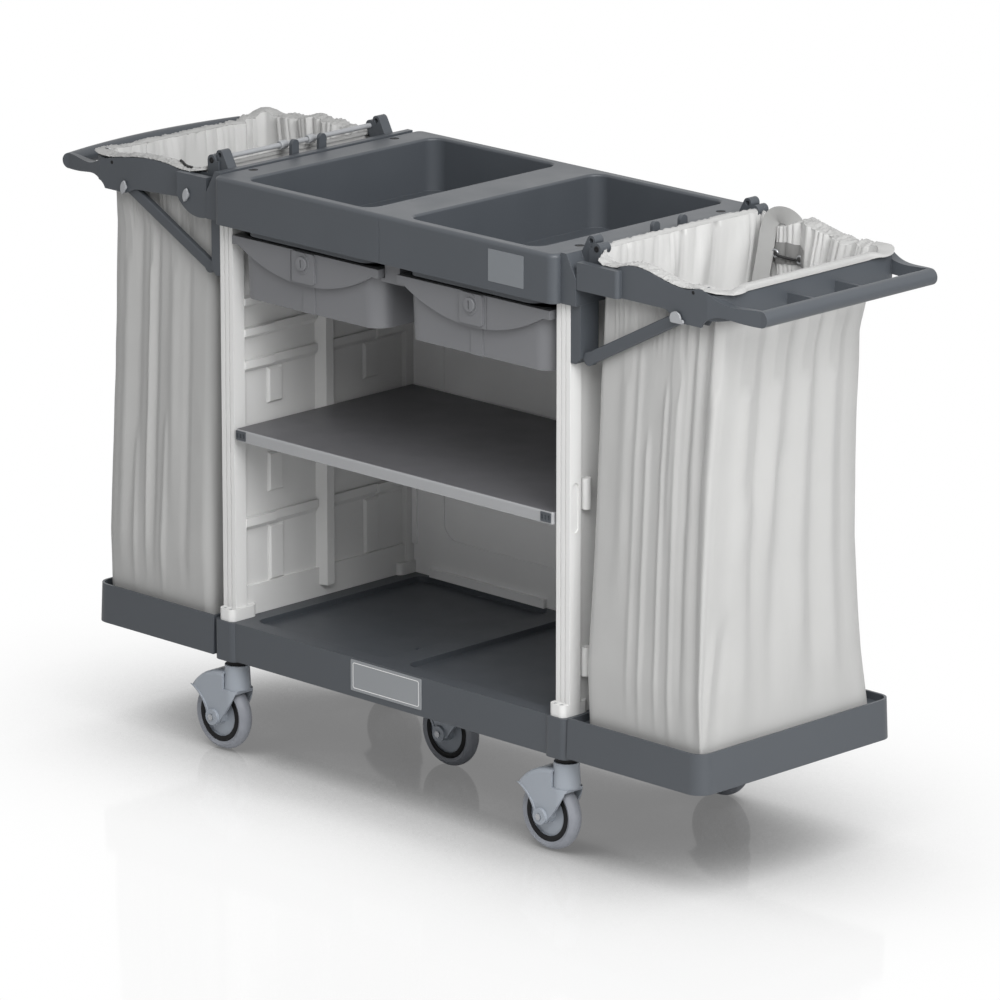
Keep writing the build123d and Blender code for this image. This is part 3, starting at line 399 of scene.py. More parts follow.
def materials():
    """What makes each finish, by its name."""
    return {
        "slate_polypropylene": lambda n: moulded(n, colours().slate, 0.42, pale=1.6),
        "white_abs": lambda n: moulded(n, colours().panel, 0.38, pale=1.1, cloud=0.02),
        "grey_back_board": lambda n: moulded(n, colours().back, 0.5, pale=1.15, cloud=0.02),
        "shelf_laminate": lambda n: moulded(n, colours().shelf_edge, 0.45, pale=1.25, cloud=0.03,
                                            grain_depth=0.0, bands=colours().shelf_top),
        "drawer_polystyrene": lambda n: moulded(n, colours().drawer, 0.36, pale=1.25, cloud=0.03),
        "light_nylon_trim": lambda n: moulded(n, colours().trim, 0.33, pale=1.2, cloud=0.03),
        "caster_nylon": lambda n: moulded(n, colours().caster, 0.36, pale=1.3, cloud=0.03),
        "black_nylon": lambda n: moulded(n, colours().black, 0.6, pale=1.3, shine=0.2),
        "grey_tyre_rubber": lambda n: rubber(n, colours().tyre, 0.5),
        "zinc_plated_steel": lambda n: metal(n, colours().steel, 0.3, 0.0012),
        "coated_nylon_cloth": lambda n: woven(n, colours().cloth, 0.62, 0.12),
        # painted light: the bags' insides and hems in a paler copy of the bag cloth
        "cloth_coating": lambda n: woven(n, colours().coating, 0.5, 0.06),
        # darker flap cloth with painted shade: half as bright as the bag cloth
        "flap_cloth": lambda n: woven(n, shade(colours().cloth, 0.5), 0.65, 0.12),
        # painted shade: the webbing drawn a fifth darker than the bag cloth
        "strap_webbing": lambda n: woven(n, shade(colours().cloth, 0.8), 0.65, 0.2),
        "black_polyester_cord": lambda n: rubber(n, colours().black, 0.7),
        "sewing_thread": lambda n: rubber(n, shade(colours().cloth, 0.92), 0.6),
        "printed_plate": lambda n: moulded(n, colours().plate, 0.35, pale=1.15, cloud=0.02),
        "plate_line": lambda n: moulded(n, colours().line, 0.4, pale=1.05, cloud=0.02),
        "vinyl_label": lambda n: moulded(n, colours().label, 0.4, pale=1.15, cloud=0.02),
    }


def finish_of(name):
    """A finish by its name, made once."""
    return bpy.data.materials.get(name) or materials()[name](name)


SLOT_FINISH = {
    "slate_plastic": "slate_polypropylene", "white_panel": "white_abs", "back_panel_grey": "grey_back_board",
    "shelf_grey": "shelf_laminate", "drawer_grey": "drawer_polystyrene", "light_trim": "light_nylon_trim",
    "bag_cloth": "coated_nylon_cloth", "steel": "zinc_plated_steel", "caster_grey": "caster_nylon",
    "tyre_grey": "grey_tyre_rubber",
}


def put(mesh, name, body, slot, finish=None):
    """Links a finished mesh as a piece that rides on a body, with a finish unless it has its own."""
    mesh.name = name
    if finish:
        mesh.materials.clear()
        mesh.materials.append(finish_of(finish))
    piece = bpy.data.objects.new(name, mesh)
    bpy.context.scene.collection.objects.link(piece)
    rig.ride(piece, body)
    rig.slot(piece, slot)
    return piece


def baked(piece):
    """The plain mesh of an object as its modifiers leave it."""
    graph = bpy.context.evaluated_depsgraph_get()
    graph.update()
    return bpy.data.meshes.new_from_object(piece.evaluated_get(graph))


def mesh_of(shape, name, matrix=None):
    """The mesh of a shape, moved by a matrix if one is given. The shape is used up."""
    if matrix is not None:
        bmesh.ops.transform(shape, matrix=matrix, verts=shape.verts)
    mesh = bpy.data.meshes.new(name)
    shape.to_mesh(mesh)
    shape.free()
    return mesh


def bridge(shape, loops, closed=False):
    """Faces from each loop of corners to the next, and from the last to the first if closed."""
    faces = []
    for a, b in zip(loops, loops[1:] + (loops[:1] if closed else [])):
        for i in range(len(a)):
            k = (i + 1) % len(a)
            faces.append(shape.faces.new((a[i], a[k], b[k], b[i])))
    return faces


def smooth_step(low, high, value):
    x = np.clip((value - low) / (high - low), 0, 1)
    return x * x * (3 - 2 * x)


# Bags, seen as the right-hand one; the left-hand one is mirrored.
FACE_COLUMNS = (120, 84, 120, 100)  # front, outer end, back, rod side
CORNER_COLUMNS = 12
WALL_ROWS = 64
FLOOR_RINGS = 5
BAG_FLAT = (1.62, 1.10)  # a bag cut open: round its walls, and from hem to the floor's middle
ROD = (0.514, 1.174)  # bag rod in X and Z
ROD_REACH = (0.184, 0.198)  # the hem wraps the rod up to here and lets go of it there
RIM = 1.150  # height where the walls end and the hem starts out
LEFT_ROD_RIM = 1.158  # height of the left bag's loose edge beside its rod
LOWEST_RIM = 1.140
ABOVE_ALL = 1.6  # rays that look for the holders' tops start from here
LEAST_TOP = 1.12  # what they meet below this isn't a holder's top
HEM_PROBES = (9, 12, 16)  # mm out from the wall where the hem looks for its holder
WALL_PROBE = 10 * MM  # from the end wall's inside to its middle
SETTLE_COLUMNS = (15, 9, 9, 3, 5)  # easing of rim, gathers, end wall, rod and free edge
SEAM_ROW = 4  # row of the hem that the stitches follow
SEAM_LIFT = 0.7 * MM
CLOTH_CREASE = math.radians(55)  # sharper bends of the cloth are shaded as edges
UNDER_ARMS = 0.94  # above this the walls may stand 2.5 mm proud, below it 14 mm
BAG_ROOT = 0.508  # X of the walls beside the side panels, where a bag folds flat to
FOLDED_FLAT = 0.2  # share of its width that a bag keeps when its holder is up
CRINKLE_RATE = (14, 4)  # small wrinkles in a metre round a bag and up it
CREASE_RATE = (22, 9)  # creases in a metre round a bag and up it
FOLD_EASE = 0.14  # share of the height over which a fold fades in
GATHER_RATE = 26  # gathers on one side of a bag
FINE_RATE = 58  # small gathers along one side of the hem
# Rings up a bag in mm: height, inner end, outer end, front, back, then the corners' radii
# in the order front inner, front outer, back outer, back inner
BAG_RINGS = {
    "right": ((263.5, 508, 803, -245, 238, 20, 6, 45, 25), (382, 508, 807, -251, 233, 24, 9, 78, 30),
              (600, 511, 806, -240, 217, 24, 16, 80, 30), (800, 516, 810, -231, 212, 20, 22, 80, 28),
              (1000, 520, 818, -221, 206, 15, 24, 74, 24), (1150, 521.5, 829, -216, 214, 10, 24, 34, 12)),
    "left": ((263.5, 508, 804, -245, 245, 20, 20, 30, 25), (382, 508, 810, -250, 248, 24, 34, 40, 30),
             (700, 514, 817, -234, 232, 22, 48, 45, 30), (1000, 520, 823, -221, 220, 16, 56, 40, 24),
             (1150, 527, 829, -216, 216, 12, 38, 34, 14)),
}
# Folds: place round the bag (0 front, 1 end, 2 back, 3 rod side), drift to the top, half width,
# from and to (shares of the height), millimetres proud
FOLDS = {
    "right": (
        (0.9, 0.015, 0.034, 0.04, 1.0, -7.0), (0.89, 0.02, 0.03, 0.6, 1.0, -8.0),
        (0.985, 0.01, 0.024, 0.03, 1.0, 7.0), (0.34, 0.03, 0.024, 0.1, 0.8, 3.0),
        (0.44, 0.03, 0.022, 0.05, 0.62, 4.0), (0.58, 0.03, 0.02, 0.08, 0.74, 4.5),
        (0.7, 0.02, 0.024, 0.0, 0.8, 4.5), (0.78, 0.03, 0.026, 0.15, 0.95, -5.0),
        (0.22, 0.05, 0.05, 0.35, 1.0, 4.0), (0.64, 0.04, 0.036, 0.5, 1.0, 5.0),
        (1.055, 0.12, 0.022, 0.0, 0.24, 5.0), (1.12, 0.16, 0.03, 0.0, 0.26, -5.0),
        (1.2, 0.0, 0.05, 0.34, 1.0, 9.0), (1.27, -0.03, 0.055, 0.0, 0.52, 8.0),
        (1.31, 0.02, 0.04, 0.3, 1.0, -7.0), (1.41, 0.02, 0.05, 0.42, 1.0, 9.0),
        (1.46, 0.05, 0.045, 0.1, 0.6, -6.0), (1.52, 0.02, 0.05, 0.36, 1.0, -6.0),
        (1.62, 0.02, 0.055, 0.16, 1.0, 9.0), (1.73, 0.0, 0.045, 0.1, 1.0, -8.0),
        (1.84, -0.02, 0.045, 0.08, 1.0, 8.0), (1.94, 0.0, 0.05, 0.2, 1.0, -6.0),
        (2.2, 0.02, 0.05, 0.1, 1.0, 5.0), (2.45, 0.03, 0.045, 0.3, 1.0, -6.0),
        (2.7, 0.02, 0.05, 0.1, 1.0, 5.0), (3.3, -0.16, 0.06, 0.2, 1.0, -9.0),
        (3.58, -0.2, 0.05, 0.3, 1.0, -10.0), (3.72, -0.16, 0.04, 0.45, 1.0, -9.0)),
    "left": (
        (0.62, 0.02, 0.02, 0.14, 0.95, 6.0), (0.56, 0.02, 0.03, 0.12, 0.95, -5.0),
        (0.88, 0.02, 0.05, 0.1, 1.0, 5.0), (0.76, 0.01, 0.04, 0.3, 1.0, -5.0),
        (0.36, 0.03, 0.05, 0.3, 1.0, 5.0), (0.22, 0.02, 0.04, 0.1, 0.9, -4.0),
        (0.46, -0.05, 0.025, 0.02, 0.4, 4.0), (0.74, 0.06, 0.025, 0.04, 0.36, 4.0),
        (1.2, 0.04, 0.045, 0.2, 1.0, 6.0), (1.38, 0.03, 0.04, 0.3, 1.0, -6.0),
        (1.55, 0.02, 0.05, 0.1, 1.0, 6.0), (1.75, -0.02, 0.045, 0.2, 1.0, -5.0),
        (2.25, 0.02, 0.05, 0.1, 1.0, 5.0), (2.6, 0.02, 0.05, 0.2, 1.0, -5.0),
        (3.4, 0.02, 0.06, 0.2, 1.0, 4.0)),
}
# Pleats under the hem: place, half width, from that share of the height, millimetres inward
PLEATS = {
    "right": ((2.115, 0.045, 0.80, 8.0), (2.295, 0.075, 0.78, 11.0), (2.51, 0.095, 0.80, 9.0),
              (2.755, 0.085, 0.80, 11.0)),
    "left": ((1.86, 0.028, 0.78, 10.0), (1.93, 0.020, 0.78, 10.0), (2.15, 0.080, 0.80, 9.0),
             (2.35, 0.065, 0.80, 9.0), (2.60, 0.090, 0.82, 8.0), (2.81, 0.055, 0.80, 9.0)),
}
# Puffs that stand above the rim: place, half width, millimetres up, millimetres further out
PUFFS = {
    "right": ((1.93, 0.03, 3.0, 2.0), (2.02, 0.04, 6.0, 2.0), (2.17, 0.03, 6.0, 3.0),
              (2.30, 0.05, 3.0, 1.0), (2.62, 0.06, 3.0, 2.0)),
    "left": ((0.99, 0.07, 1.5, 6.0), (1.92, 0.03, 6.0, 1.0), (2.00, 0.035, 15.0, 2.0),
             (2.14, 0.08, 7.0, 2.0), (2.42, 0.07, 7.0, 2.0), (2.62, 0.05, 4.0, 1.0), (2.80, 0.06, 4.0, 1.0)),
}
# Gathers under the hem on the four sides, as shares of the ruffle
GATHERS = {"right": (1.0, 0.06, 1.1, 0.45), "left": (1.0, 0.8, 1.1, 0.2)}
# Section of the hem in mm, out from the wall and up: over an arm, on the end wall, round the rod
# and at the rod's eyes
HEM_ARM = ((0.4, -1.0), (0.9, 0.8), (4.0, 2.0), (10.0, 2.4),
           (17.0, 2.2), (23.0, 1.6), (28.0, 0.9), (29.0, 0.2))
HEM_END = {
    "right": ((0.4, -1.0), (0.8, 6.0), (1.6, 10.2), (7.0, 10.8),
              (12.5, 10.4), (14.4, 9.4), (14.8, 5.0), (14.6, 0.5)),
    "left": ((0.4, -1.0), (0.7, 2.0), (2.0, 3.6), (6.0, 4.2),
             (10.0, 4.0), (13.5, 3.0), (15.0, 1.4), (15.2, -1.0)),
}
HEM_ROD = ((0.2, 0.0), (1.4, 3.2), (4.0, 5.6), (7.5, 6.4),
           (10.8, 5.2), (13.6, 1.5), (13.9, -3.0), (13.2, -7.0))
HEM_FREE = ((0.2, -1.0), (0.4, 1.2), (1.0, 2.2), (1.8, 2.4),
            (2.5, 1.6), (2.8, 0.2), (2.8, -2.0), (2.6, -4.0))


def ring_columns():
    """For each column round a bag: its side, whether on a corner, its share there, its place in 0 to 4."""
    rows = []
    for face, count in enumerate(FACE_COLUMNS):
        rows += [(face, False, i / count, face + 0.05 + 0.9 * i / count) for i in range(count)]
        rows += [(face, True, i / CORNER_COLUMNS, face + 0.95 + 0.1 * i / CORNER_COLUMNS)
                 for i in range(CORNER_COLUMNS)]
    return rows


def ring_at(side, z):
    """A bag's ring at a height: inner end, outer end, front, back and the four corners' radii."""
    table = np.array(BAG_RINGS[side]) * MM
    return [float(np.interp(z, table[:, 0], table[:, i])) for i in range(1, table.shape[1])]


def ring_point(column, ring):
    """Point and outward direction of one column on a ring, going round from the front inner corner."""
    face, bend, share, _ = column
    inner, outer, front, back, *radii = ring
    signs = ((inner, front, 1, 1), (outer, front, -1, 1), (outer, back, -1, -1), (inner, back, 1, -1))
    centres = [Vector((x + sx * r, y + sy * r, 0.0)) for (x, y, sx, sy), r in zip(signs, radii)]
    turn = math.radians(90 * face - 90 + (90 * share if bend else 0))
    out = Vector((math.cos(turn), math.sin(turn), 0.0))
    ahead = (face + 1) % 4
    end = centres[ahead] + out * radii[ahead]
    if bend:
        return end, out
    return (centres[face] + out * radii[face]).lerp(end, share), out


def holder_top(side):
    """A function for the height of a holder's top at (x, y) of the right-hand frame."""
    node = frame["nodes"][side + "_holder_frame"]
    look = BVHTree.FromObject(node, bpy.context.evaluated_depsgraph_get())
    flip = SIDES[side]

    def height(x, y):
        hit = look.ray_cast(Vector((flip * x, y, ABOVE_ALL)), Vector((0, 0, -1)))
        return hit[0].z if hit[0] is not None and hit[0].z > LEAST_TOP else 0.0
    return height


def settle(values, width):
    """Circular moving average, so one side's value eases into the next."""
    kernel = np.ones(width) / width
    padded = np.concatenate([values[-width:], values, values[:width]])
    return np.convolve(padded, kernel, "same")[width:-width]


def rim_values(side, columns):
    """For each column: rim height, gather height, and shares of the end wall's, rod's and free hem."""
    height = holder_top(side)
    wall_top = height(BAG_RINGS[side][-1][2] * MM + WALL_PROBE, 0.0)
    rim, gather, on_end, on_rod, free = [], [], [], [], []
    for column in columns:
        face, bend, _, _ = column
        point, out = ring_point(column, ring_at(side, RIM))
        gather.append(GATHERS[side][face] * sizes().ruffle)
        on_end.append(1.0 if face == 1 and not bend else 0.0)
        if face == 3 or (face == 2 and bend):
            hold = 1 - float(smooth_step(*ROD_REACH, abs(point.y))) if side == "right" else 0.0
            on_rod.append(hold)
            free.append(1 - hold)
            rim.append(ROD[1] if side == "right" else LEFT_ROD_RIM)
        else:
            on_rod.append(0.0)
            free.append(0.0)
            probes = [height(*(point + out * far * MM).xy) for far in HEM_PROBES]
            rim.append(max(probes + [wall_top if face == 1 else LOWEST_RIM]) + 1 * MM)
    values = (rim, gather, on_end, on_rod, free)
    return [settle(np.array(v), width) for v, width in zip(values, SETTLE_COLUMNS)]


def fold_push(side, place, t):
    """How far the folds push the wall out, for every column at one share of the height."""
    total = np.zeros(len(place))
    for centre, drift, width, low, high, proud in FOLDS[side]:
        gap = np.abs((place - centre - drift * t + 2) % 4 - 2)
        along = smooth_step(low - FOLD_EASE, low + FOLD_EASE, t)
        along *= 1 - smooth_step(high - 0.02, high + 0.06, t)
        total += proud * MM * np.exp(-(gap / width) ** 2) * along
    return total


def pleat_push(side, place, t):
    """How far the pleats draw the wall in, for every column at one share of the height."""
    total = np.zeros(len(place))
    for centre, width, low, deep in PLEATS[side]:
        total -= deep * MM * np.exp(-((place - centre) / width) ** 6) * smooth_step(low, 0.95, t)
    return total


def puff_values(side, place):
    """Rise and further reach of the rim for every column."""
    total = np.zeros((2, len(place)))
    for centre, width, up, out in PUFFS[side]:
        total += np.outer((up, out), np.exp(-((place - centre) / width) ** 2)) * MM
    return total


def ridges(along, seed):
    """Gathered cloth from -1 to 1 along a line: round crests with narrow creases between them."""
    value = noise.noise(Vector((along, seed, 0.0)))
    return 1 - 2 * math.sqrt(min(1.0, 2.2 * abs(value) + 0.02))


def bag_grid(side):
    """Rows of points of one bag, from its floor up the wall and over the hem, in the right-hand frame."""
    columns = ring_columns()
    place = np.array([c[3] for c in columns])
    rim, gather, on_end, on_rod, free = rim_values(side, columns)
    rise, flare = puff_values(side, place)
    rim = rim + rise
    hems = (HEM_ARM, HEM_END[side], HEM_ROD, HEM_FREE)
    foot = BAG_RINGS[side][0][0] * MM
    seed = 11.0 if side == "right" else 47.0
    rows = []
    for j in range(WALL_ROWS + 1):
        t = j / WALL_ROWS
        folds = fold_push(side, place, t)
        pleats = pleat_push(side, place, t)
        fade = min(1.0, t * 12) * min(1.0, (1.001 - t) * 14)
        row = []
        for i, column in enumerate(columns):
            z = foot + t * (rim[i] - foot)
            point, out = ring_point(column, ring_at(side, z))
            spot = Vector((point.x * CRINKLE_RATE[0] + seed, point.y * CRINKLE_RATE[0], z * CRINKLE_RATE[1]))
            small = noise.noise(spot) + 0.6 * noise.noise(spot * 2.3)
            line = Vector((point.x * CREASE_RATE[0], point.y * CREASE_RATE[0] + seed, z * CREASE_RATE[1]))
            crease = 1 - abs(noise.noise(line))
            push = folds[i] * fade + sizes().crinkle * fade * (small + 0.8 * (crease - 0.75))
            lean = place[i] + 0.03 * math.sin(place[i] * 9 + seed) * (1 - t)
            ripple = smooth_step(0.80, 0.98, t) * ridges(lean * GATHER_RATE, seed + t * 1.5)
            push += gather[i] * ripple + pleats[i]
            push = min(push, 2.5 * MM if z > UNDER_ARMS else 14 * MM)
            point = point + out * push
            row.append(Vector((point.x, point.y, z)))
        rows.append(row)
    pleats_at_rim = pleat_push(side, place, 1.0)
    for k in range(len(HEM_ARM)):
        row = []
        for i, column in enumerate(columns):
            point, out = ring_point(column, ring_at(side, RIM))
            shares = (1 - on_end[i] - on_rod[i] - free[i], on_end[i], on_rod[i], free[i])
            far, lift = (sum(s * hem[k][n] for s, hem in zip(shares, hems)) for n in (0, 1))
            wave = ridges(place[i] * GATHER_RATE + 0.25 * k, seed + 3)
            fine = ridges(place[i] * FINE_RATE - 0.45 * k, seed + 9 + 0.2 * k)
            crest = math.sin(math.pi * (k + 0.5) / len(HEM_ARM)) * min(1.0, gather[i] / sizes().ruffle)
            up = lift * MM + sizes().ruffle * crest * (0.7 * wave + 0.6 * fine + 0.15)
            drawn = pleats_at_rim[i] * (1 - k / len(HEM_ARM)) ** 2
            ruffle = sizes().ruffle * 0.8 * wave * crest
            spot = point + out * (far * MM + flare[i] * k / (len(HEM_ARM) - 1) + ruffle + drawn)
            row.append(Vector((spot.x, spot.y, rim[i] + up)))
        rows.append(row)
    return rows


def cloth_mesh(rows, flip=1, closed=False, hem=0):
    """A cloth from rows of points, with its spread in metres as UV. A closed one joins up round its rows
    and is filled in rings from its first row to the middle. The last hem rows take the second finish."""
    shape = bmesh.new()
    uv = shape.loops.layers.uv.new("cloth")
    count = len(rows[0])
    middle = sum(rows[0], Vector()) / count
    if closed:
        rows = [[middle.lerp(p, k / FLOOR_RINGS) for p in rows[0]] for k in range(1, FLOOR_RINGS)] + rows
    made = [[shape.verts.new((flip * p.x, p.y, p.z)) for p in row] for row in rows]
    level = rows[len(rows) // 2]
    across = np.cumsum([0.0] + [(level[(i + 1) % count] - level[i]).length for i in range(count)])
    along = np.cumsum([0.0] + [(b[count // 8] - a[count // 8]).length for a, b in zip(rows, rows[1:])])
    for j in range(len(rows) - 1):
        for i in range(count if closed else count - 1):
            k = (i + 1) % count
            face = shape.faces.new((made[j][i], made[j][k], made[j + 1][k], made[j + 1][i]))
            face.smooth = True
            face.material_index = 1 if j >= len(rows) - 1 - hem else 0
            for loop, (c, r) in zip(face.loops, ((i, j), (i + 1, j), (i + 1, j + 1), (i, j + 1))):
                loop[uv].uv = (across[c], along[r])
    if closed:
        centre = shape.verts.new((flip * middle.x, middle.y, middle.z))
        for i in range(count):
            shape.faces.new((made[0][(i + 1) % count], made[0][i], centre))
    if flip < 0:
        bmesh.ops.reverse_faces(shape, faces=shape.faces)
    return mesh_of(shape, "cloth")


def solid_cloth(mesh, thickness, finishes):
    """A cloth's mesh with its thickness added; with several finishes the inside takes the next one on."""
    for finish in finishes:
        mesh.materials.append(finish_of(finish))
    draft = bpy.data.objects.new("draft", mesh)
    bpy.context.scene.collection.objects.link(draft)
    wall = draft.modifiers.new("Solidify", "SOLIDIFY")
    wall.thickness = thickness
    wall.offset = -1.0
    wall.material_offset = min(1, len(finishes) - 1)
    final = baked(draft)
    final.set_sharp_from_angle(angle=CLOTH_CREASE)
    bpy.data.objects.remove(draft)
    return final


def fold_with_holder(piece, side):
    """A soft piece flattens towards the trolley as its holder folds up."""
    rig.squash(piece, side + "_holder_fold", axis=(1, 0, 0), anchor=(SIDES[side] * BAG_ROOT, 0, 0),
              keep=FOLDED_FLAT)


def node_group(name, inputs):
    """A geometry-node group with its named inputs; returns the group and the inputs' sockets."""
    tree = bpy.data.node_groups.new(name, "GeometryNodeTree")
    tree.interface.new_socket("Geometry", in_out="INPUT", socket_type="NodeSocketGeometry")
    for label, kind in inputs:
        tree.interface.new_socket(label, in_out="INPUT", socket_type="NodeSocket" + kind)
    tree.interface.new_socket("Geometry", in_out="OUTPUT", socket_type="NodeSocketGeometry")
    return tree, add(tree, "NodeGroupInput").outputs


def close_group(tree, instances, material):
    """Ends a group: instances made real, the material set, the result handed out."""
    real = add(tree, "GeometryNodeRealizeInstances", {0: instances})
    painted = add(tree, "GeometryNodeSetMaterial", {"Geometry": real.outputs[0], "Material": material})
    add(tree, "NodeGroupOutput", {0: painted.outputs[0]})


def stitch_group():
    """Sets a stitch at every pitch along a path, lying along it."""
    inputs = (("Stitch", "Object"), ("Pitch", "Float"), ("Thread", "Material"))
    tree, given = node_group("stitches_on_path", inputs)
    points = add(tree, "GeometryNodeCurveToPoints", {
        "Curve": given["Geometry"], "Length": given["Pitch"]}, mode="LENGTH")
    along = add(tree, "FunctionNodeAlignRotationToVector", {
        "Vector": points.outputs["Tangent"]}, axis="X")
    stitch = add(tree, "GeometryNodeObjectInfo", {"Object": given["Stitch"]})
    placed = add(tree, "GeometryNodeInstanceOnPoints", {
        "Points": points.outputs["Points"], "Instance": stitch.outputs["Geometry"],
        "Rotation": along.outputs[0]})
    close_group(tree, placed.outputs[0], given["Thread"])
    return tree


FULL_TURN = 6.283  # radians


def repeat_group():
    """Sets a piece on every point, facing the point's own direction, turned by a seeded random angle."""
    inputs = (("Piece", "Object"), ("Seed", "Int"), ("Finish", "Material"))
    tree, given = node_group("pieces_on_points", inputs)
    facing = add(tree, "GeometryNodeInputNamedAttribute", {"Name": "facing"}, data_type="FLOAT_VECTOR")
    stand = add(tree, "FunctionNodeAlignRotationToVector", {"Vector": facing.outputs[0]}, axis="Z")
    turn = add(tree, "FunctionNodeRandomValue", {"Seed": given["Seed"], 3: FULL_TURN}, data_type="FLOAT")
    spin = add(tree, "FunctionNodeAxisAngleToRotation", {"Axis": (0, 0, 1), "Angle": turn.outputs[1]})
    whole = add(tree, "FunctionNodeRotateRotation", {0: stand.outputs[0], 1: spin.outputs[0]},
                rotation_space="LOCAL")
    piece = add(tree, "GeometryNodeObjectInfo", {"Object": given["Piece"]})
    placed = add(tree, "GeometryNodeInstanceOnPoints", {
        "Points": given["Geometry"], "Instance": piece.outputs["Geometry"], "Rotation": whole.outputs[0]})
    close_group(tree, placed.outputs[0], given["Finish"])
    return tree


def grown(host, group, values):
    """The plain mesh that a node group makes from a host object and named input values."""
    bpy.context.scene.collection.objects.link(host)
    modifier = host.modifiers.new(group.name, "NODES")
    modifier.node_group = group
    for label, value in values.items():
        modifier[group.interface.items_tree[label].identifier] = value
    mesh = baked(host)
    bpy.data.objects.remove(host)
    return mesh


STITCH_SIDES = 8
FITTING_SIDES = 28
# A stitch's half section in mm: radius, along
STITCH = ((0.05, -2.2), (0.42, -1.6), (0.5, 0.0), (0.42, 1.6), (0.05, 2.2))


def curve_of(kind, places):
    """A curve with one spline of that kind on those points; returns the curve and the spline."""
    curve = bpy.data.curves.new("route", "CURVE")
    curve.dimensions = "3D"
    line = curve.splines.new(kind)
    line.points.add(len(places) - 1)
    for point, place in zip(line.points, places):
        point.co = (*place, 1.0)
    return curve, line


def stitched(path):
    """One mesh of stitches along a closed path."""
    curve, line = curve_of("POLY", path)
    line.use_cyclic_u = True
    stitch = mesh_of(lathe(STITCH, STITCH_SIDES), "stitch", Matrix.Rotation(math.pi / 2, 4, "Z"))
    source = bpy.data.objects.new("stitch", stitch)
    group = bpy.data.node_groups.get("stitches_on_path") or stitch_group()
    mesh = grown(bpy.data.objects.new("seam", curve), group, {
        "Stitch": source, "Pitch": sizes().stitch, "Thread": finish_of("sewing_thread")})
    bpy.data.objects.remove(source)
    return mesh


def repeated(shape, places, seed, finish):
    """One mesh of a piece, drawn standing on Z, set at (point, facing) places."""
    points = bpy.data.meshes.new("places")
    points.from_pydata([place for place, _ in places], [], [])
    facing = points.attributes.new("facing", "FLOAT_VECTOR", "POINT")
    facing.data.foreach_set("vector", [c for _, way in places for c in way])
    standing = mesh_of(shape, "piece", Matrix.Rotation(math.pi / 2, 4, "X"))
    source = bpy.data.objects.new("piece", standing)
    group = bpy.data.node_groups.get("pieces_on_points") or repeat_group()
    mesh = grown(bpy.data.objects.new("places", points), group, {
        "Piece": source, "Seed": seed, "Finish": finish_of(finish)})
    bpy.data.objects.remove(source)
    return mesh


def fittings(profile, places, seed, name, finish, slot, body="chassis"):
    """Puts a turned fitting, drawn as (radius, height) in mm, at every (point, facing) place of a body."""
    return put(repeated(lathe(profile, FITTING_SIDES), places, seed, finish), name, body, slot, finish)


class TROLLEY_OT_finishes(bpy.types.Operator):
    """Gives every part of the trolley its finish by its material slot"""
    bl_idname = "trolley.finishes"
    bl_label = "Finishes"

    def execute(self, context):
        slots = {row["node"]: row["material_slot"] for row in frame["record"]["subparts"]}
        for name, node in frame["nodes"].items():
            node.data.materials.clear()
            # painted shade: the caster stems take black in place of steel, for the dark gap between fork and stem
            finish = "black_nylon" if name == "caster_stems" else SLOT_FINISH[slots[name]]
            node.data.materials.append(finish_of(finish))
        return {"FINISHED"}


class TROLLEY_OT_bags(bpy.types.Operator):
    """Makes the two open cloth bags with folds and a gathered hem over the holders"""
    bl_idname = "trolley.bags"
    bl_label = "Bags"

    def execute(self, context):
        for side, flip in SIDES.items():
            rows = bag_grid(side)
            # The insides and the hem's top take the paler cloth, as painted light
            cloth = solid_cloth(cloth_mesh(rows, flip, True, len(HEM_ARM)), sizes().cloth,
                                ("coated_nylon_cloth", "cloth_coating", "coated_nylon_cloth"))
            bag = put(cloth, side + "_bag_cloth", "chassis", "bag_cloth")
            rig.replaces(bag, side + "_bag")
            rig.sheet(bag, flat=BAG_FLAT, held="hung",
                     rests_on=[side + "_platform", side + "_holder_frame"])
            fold_with_holder(bag, side)
            seam = [(flip * p.x, p.y, p.z + SEAM_LIFT) for p in rows[WALL_ROWS + SEAM_ROW]]
            stitches = put(stitched(seam), side + "_hem_stitches", "chassis", "bag_cloth",
                           "sewing_thread")
            fold_with_holder(stitches, side)
        return {"FINISHED"}


def spline(points, diameter=0.0):
    """The mesh of a smooth curve with those control points: round with a diameter, else its line."""
    curve, line = curve_of("NURBS", points)
    line.order_u = 3
    line.use_endpoint_u = True
    curve.resolution_u = 10
    curve.bevel_depth = diameter / 2
    curve.bevel_resolution = 3
    curve.use_fill_caps = True
    host = bpy.data.objects.new("route", curve)
    bpy.context.scene.collection.objects.link(host)
    mesh = baked(host)
    bpy.data.objects.remove(host)
    return mesh


def path_of(points):
    """Points along the smooth curve with those control points, and its length."""
    path = [v.co.copy() for v in spline(points).vertices]
    return path, sum((b - a).length for a, b in zip(path, path[1:]))


def lace(points, name, side):
    """A declared black cord that leaves a bag at its first control point and goes back in at its last."""
    path, length = path_of(points)
    cord = put(spline(points, LACE), name, "chassis", "bag_cloth", "black_polyester_cord")
    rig.cord(cord, exit=path[0], length=length, diameter=LACE, far_end="object", stiffness="limp",
            path=path)
    fold_with_holder(cord, side)


LACE = 5 * MM
EYELET = ((5.0, 0.0), (5.0, 1.0), (5.8, 1.8), (7.4, 1.7), (8.6, 1.0), (9.0, 0.0))
